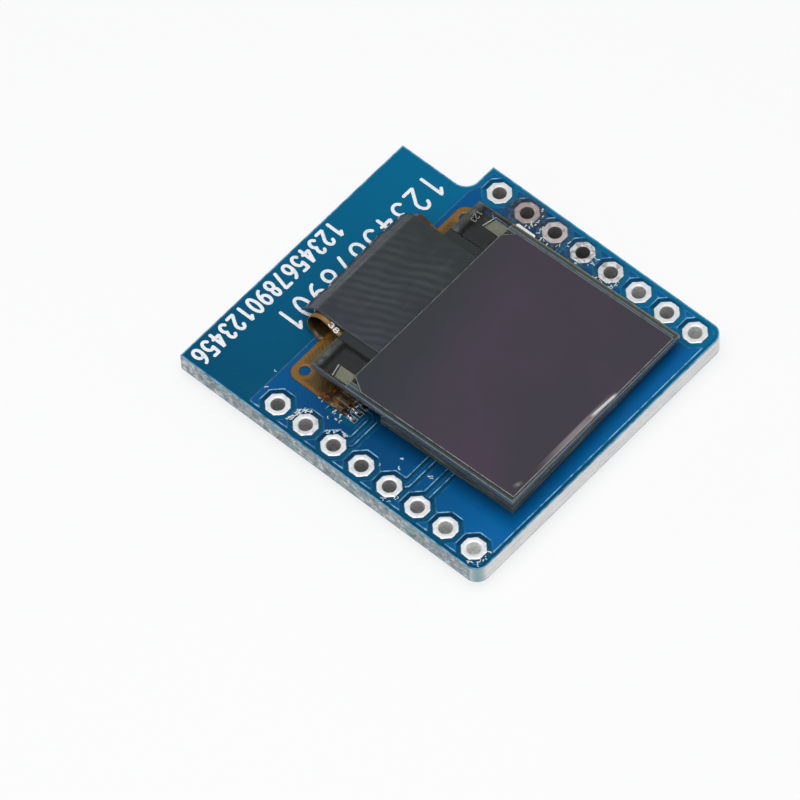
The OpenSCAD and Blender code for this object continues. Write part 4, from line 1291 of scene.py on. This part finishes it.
rearLooks = {
    "capacitor": plainLook("tanCeramic", ("#9a7b56", "#b8986d"), 0.4, 0.45, relief=0.008),
    "resistor": plainLook("whiteCeramic", ("#dcd9d0", "#efece5"), 0.3, 0.5, relief=0.008),
    "ends": plainLook("endCaps", ((0.68, 0.69, 0.7), (0.86, 0.87, 0.88)), 0.3, 0.32, 1.0, 0.012),
    "glaze": plainLook("glaze", ("#16161a", "#26262b"), 0.5, 0.22, relief=0.004),
}


def makeRearPart(kind, index, at):
    one = rearParts[kind]
    (length, width, height), end, name = one["size"], one["end"], kind + str(index)
    body = slab(blockLoop(0, 0, length - 0.08, width - 0.02, 0.06), edgeProfile(height - 0.01, 0.01, 0.05))
    finish(hungPiece(name, at, body), rearLooks[kind], one["slot"], f"{kind}_{index}")
    caps = [slab(blockLoop(s * (length - end) / 2, 0, end, width, 0.07), edgeProfile(height, 0.0, 0.06))
            for s in (-1, 1)]
    finish(hungPiece(name + "Ends", at, *caps), rearLooks["ends"], "tinned", f"{kind}_ends_{index}")
    if kind == "resistor":
        glaze = slab(blockLoop(0, 0, length - 2 * end - 0.04, width - 0.06, 0.1),
                     edgeProfile(height, height - 0.05, 0.02))
        finish(hungPiece(name + "Glaze", at, glaze), rearLooks["glaze"], "glaze", f"resistor_glaze_{index}")


def makeRearSolder():
    # each joint's hollow fillet: height falls from the end cap outwards as a quarter circle turned inwards
    rows, cols, parts = 14, 11, []
    out, turn = np.linspace(0, 1, rows)[:, None], np.radians(np.linspace(0, 180, cols))
    for one in rearParts.values():
        length, width, height = one["size"]
        r, half = min(0.4, height * 0.6), width / 2 * (1 - 0.12 * out ** 2)
        rise = 0.012 + r * (1 - np.sqrt(np.clip(1 - (1 - out) ** 2, 0, 1)))
        for at in one["at"]:
            for s in (-1, 1):
                along = np.broadcast_to(s * (length / 2 - 0.01 + r * out), (rows, cols))
                points = np.stack([along, half * np.cos(turn) * s, -0.03 + rise * np.sin(turn) ** 0.5], -1)
                foot, faces = slab(blockLoop(s * (length / 2 + 0.1), 0, one["end"] + 0.5, width - 0.02, 0.08),
                                   edgeProfile(0.002, -0.028, 0.008, 3))
                parts.append((hung(at, points.reshape(-1, 3)), archFaces(rows, cols)))
                parts.append((hung(at, foot), [f[::-1] for f in faces]))
    finish(addPiece("rearSolder", *joined(parts), angle=60), solderLook(), "solder", "rear_solder")


for kind, one in rearParts.items():
    for index, at in enumerate(one["at"], 1):
        makeRearPart(kind, index, at)
makeRearSolder()
print("small parts made")


def makeFloor():
    grid = np.linspace(-backdrop["floor"], backdrop["floor"], 3)
    x, y = np.meshgrid(grid, grid, indexing="ij")
    points = np.stack([x, y, np.full(x.shape, backdrop["floorZ"])], -1).reshape(-1, 3)
    floor = addMesh("floor", points, gridFaces(3, 3))
    look = Look("floor", (0.92, 0.92, 0.92), 0.9)
    glow = look.node("ShaderNodeEmission", {"Color": (1, 1, 1), "Strength": 1.0})[0]
    # the camera sees the floor mostly as plain light
    seen = look.times(look.node("ShaderNodeLightPath")["Is Camera Ray"], backdrop["seen"])
    blend = look.node("ShaderNodeMixShader", {0: seen, 1: look.shader.outputs[0], 2: glow})[0]
    look.put(look.tree.nodes["Material Output"].inputs["Surface"], blend)
    floor.data.materials.append(look.mat)


makeFloor()
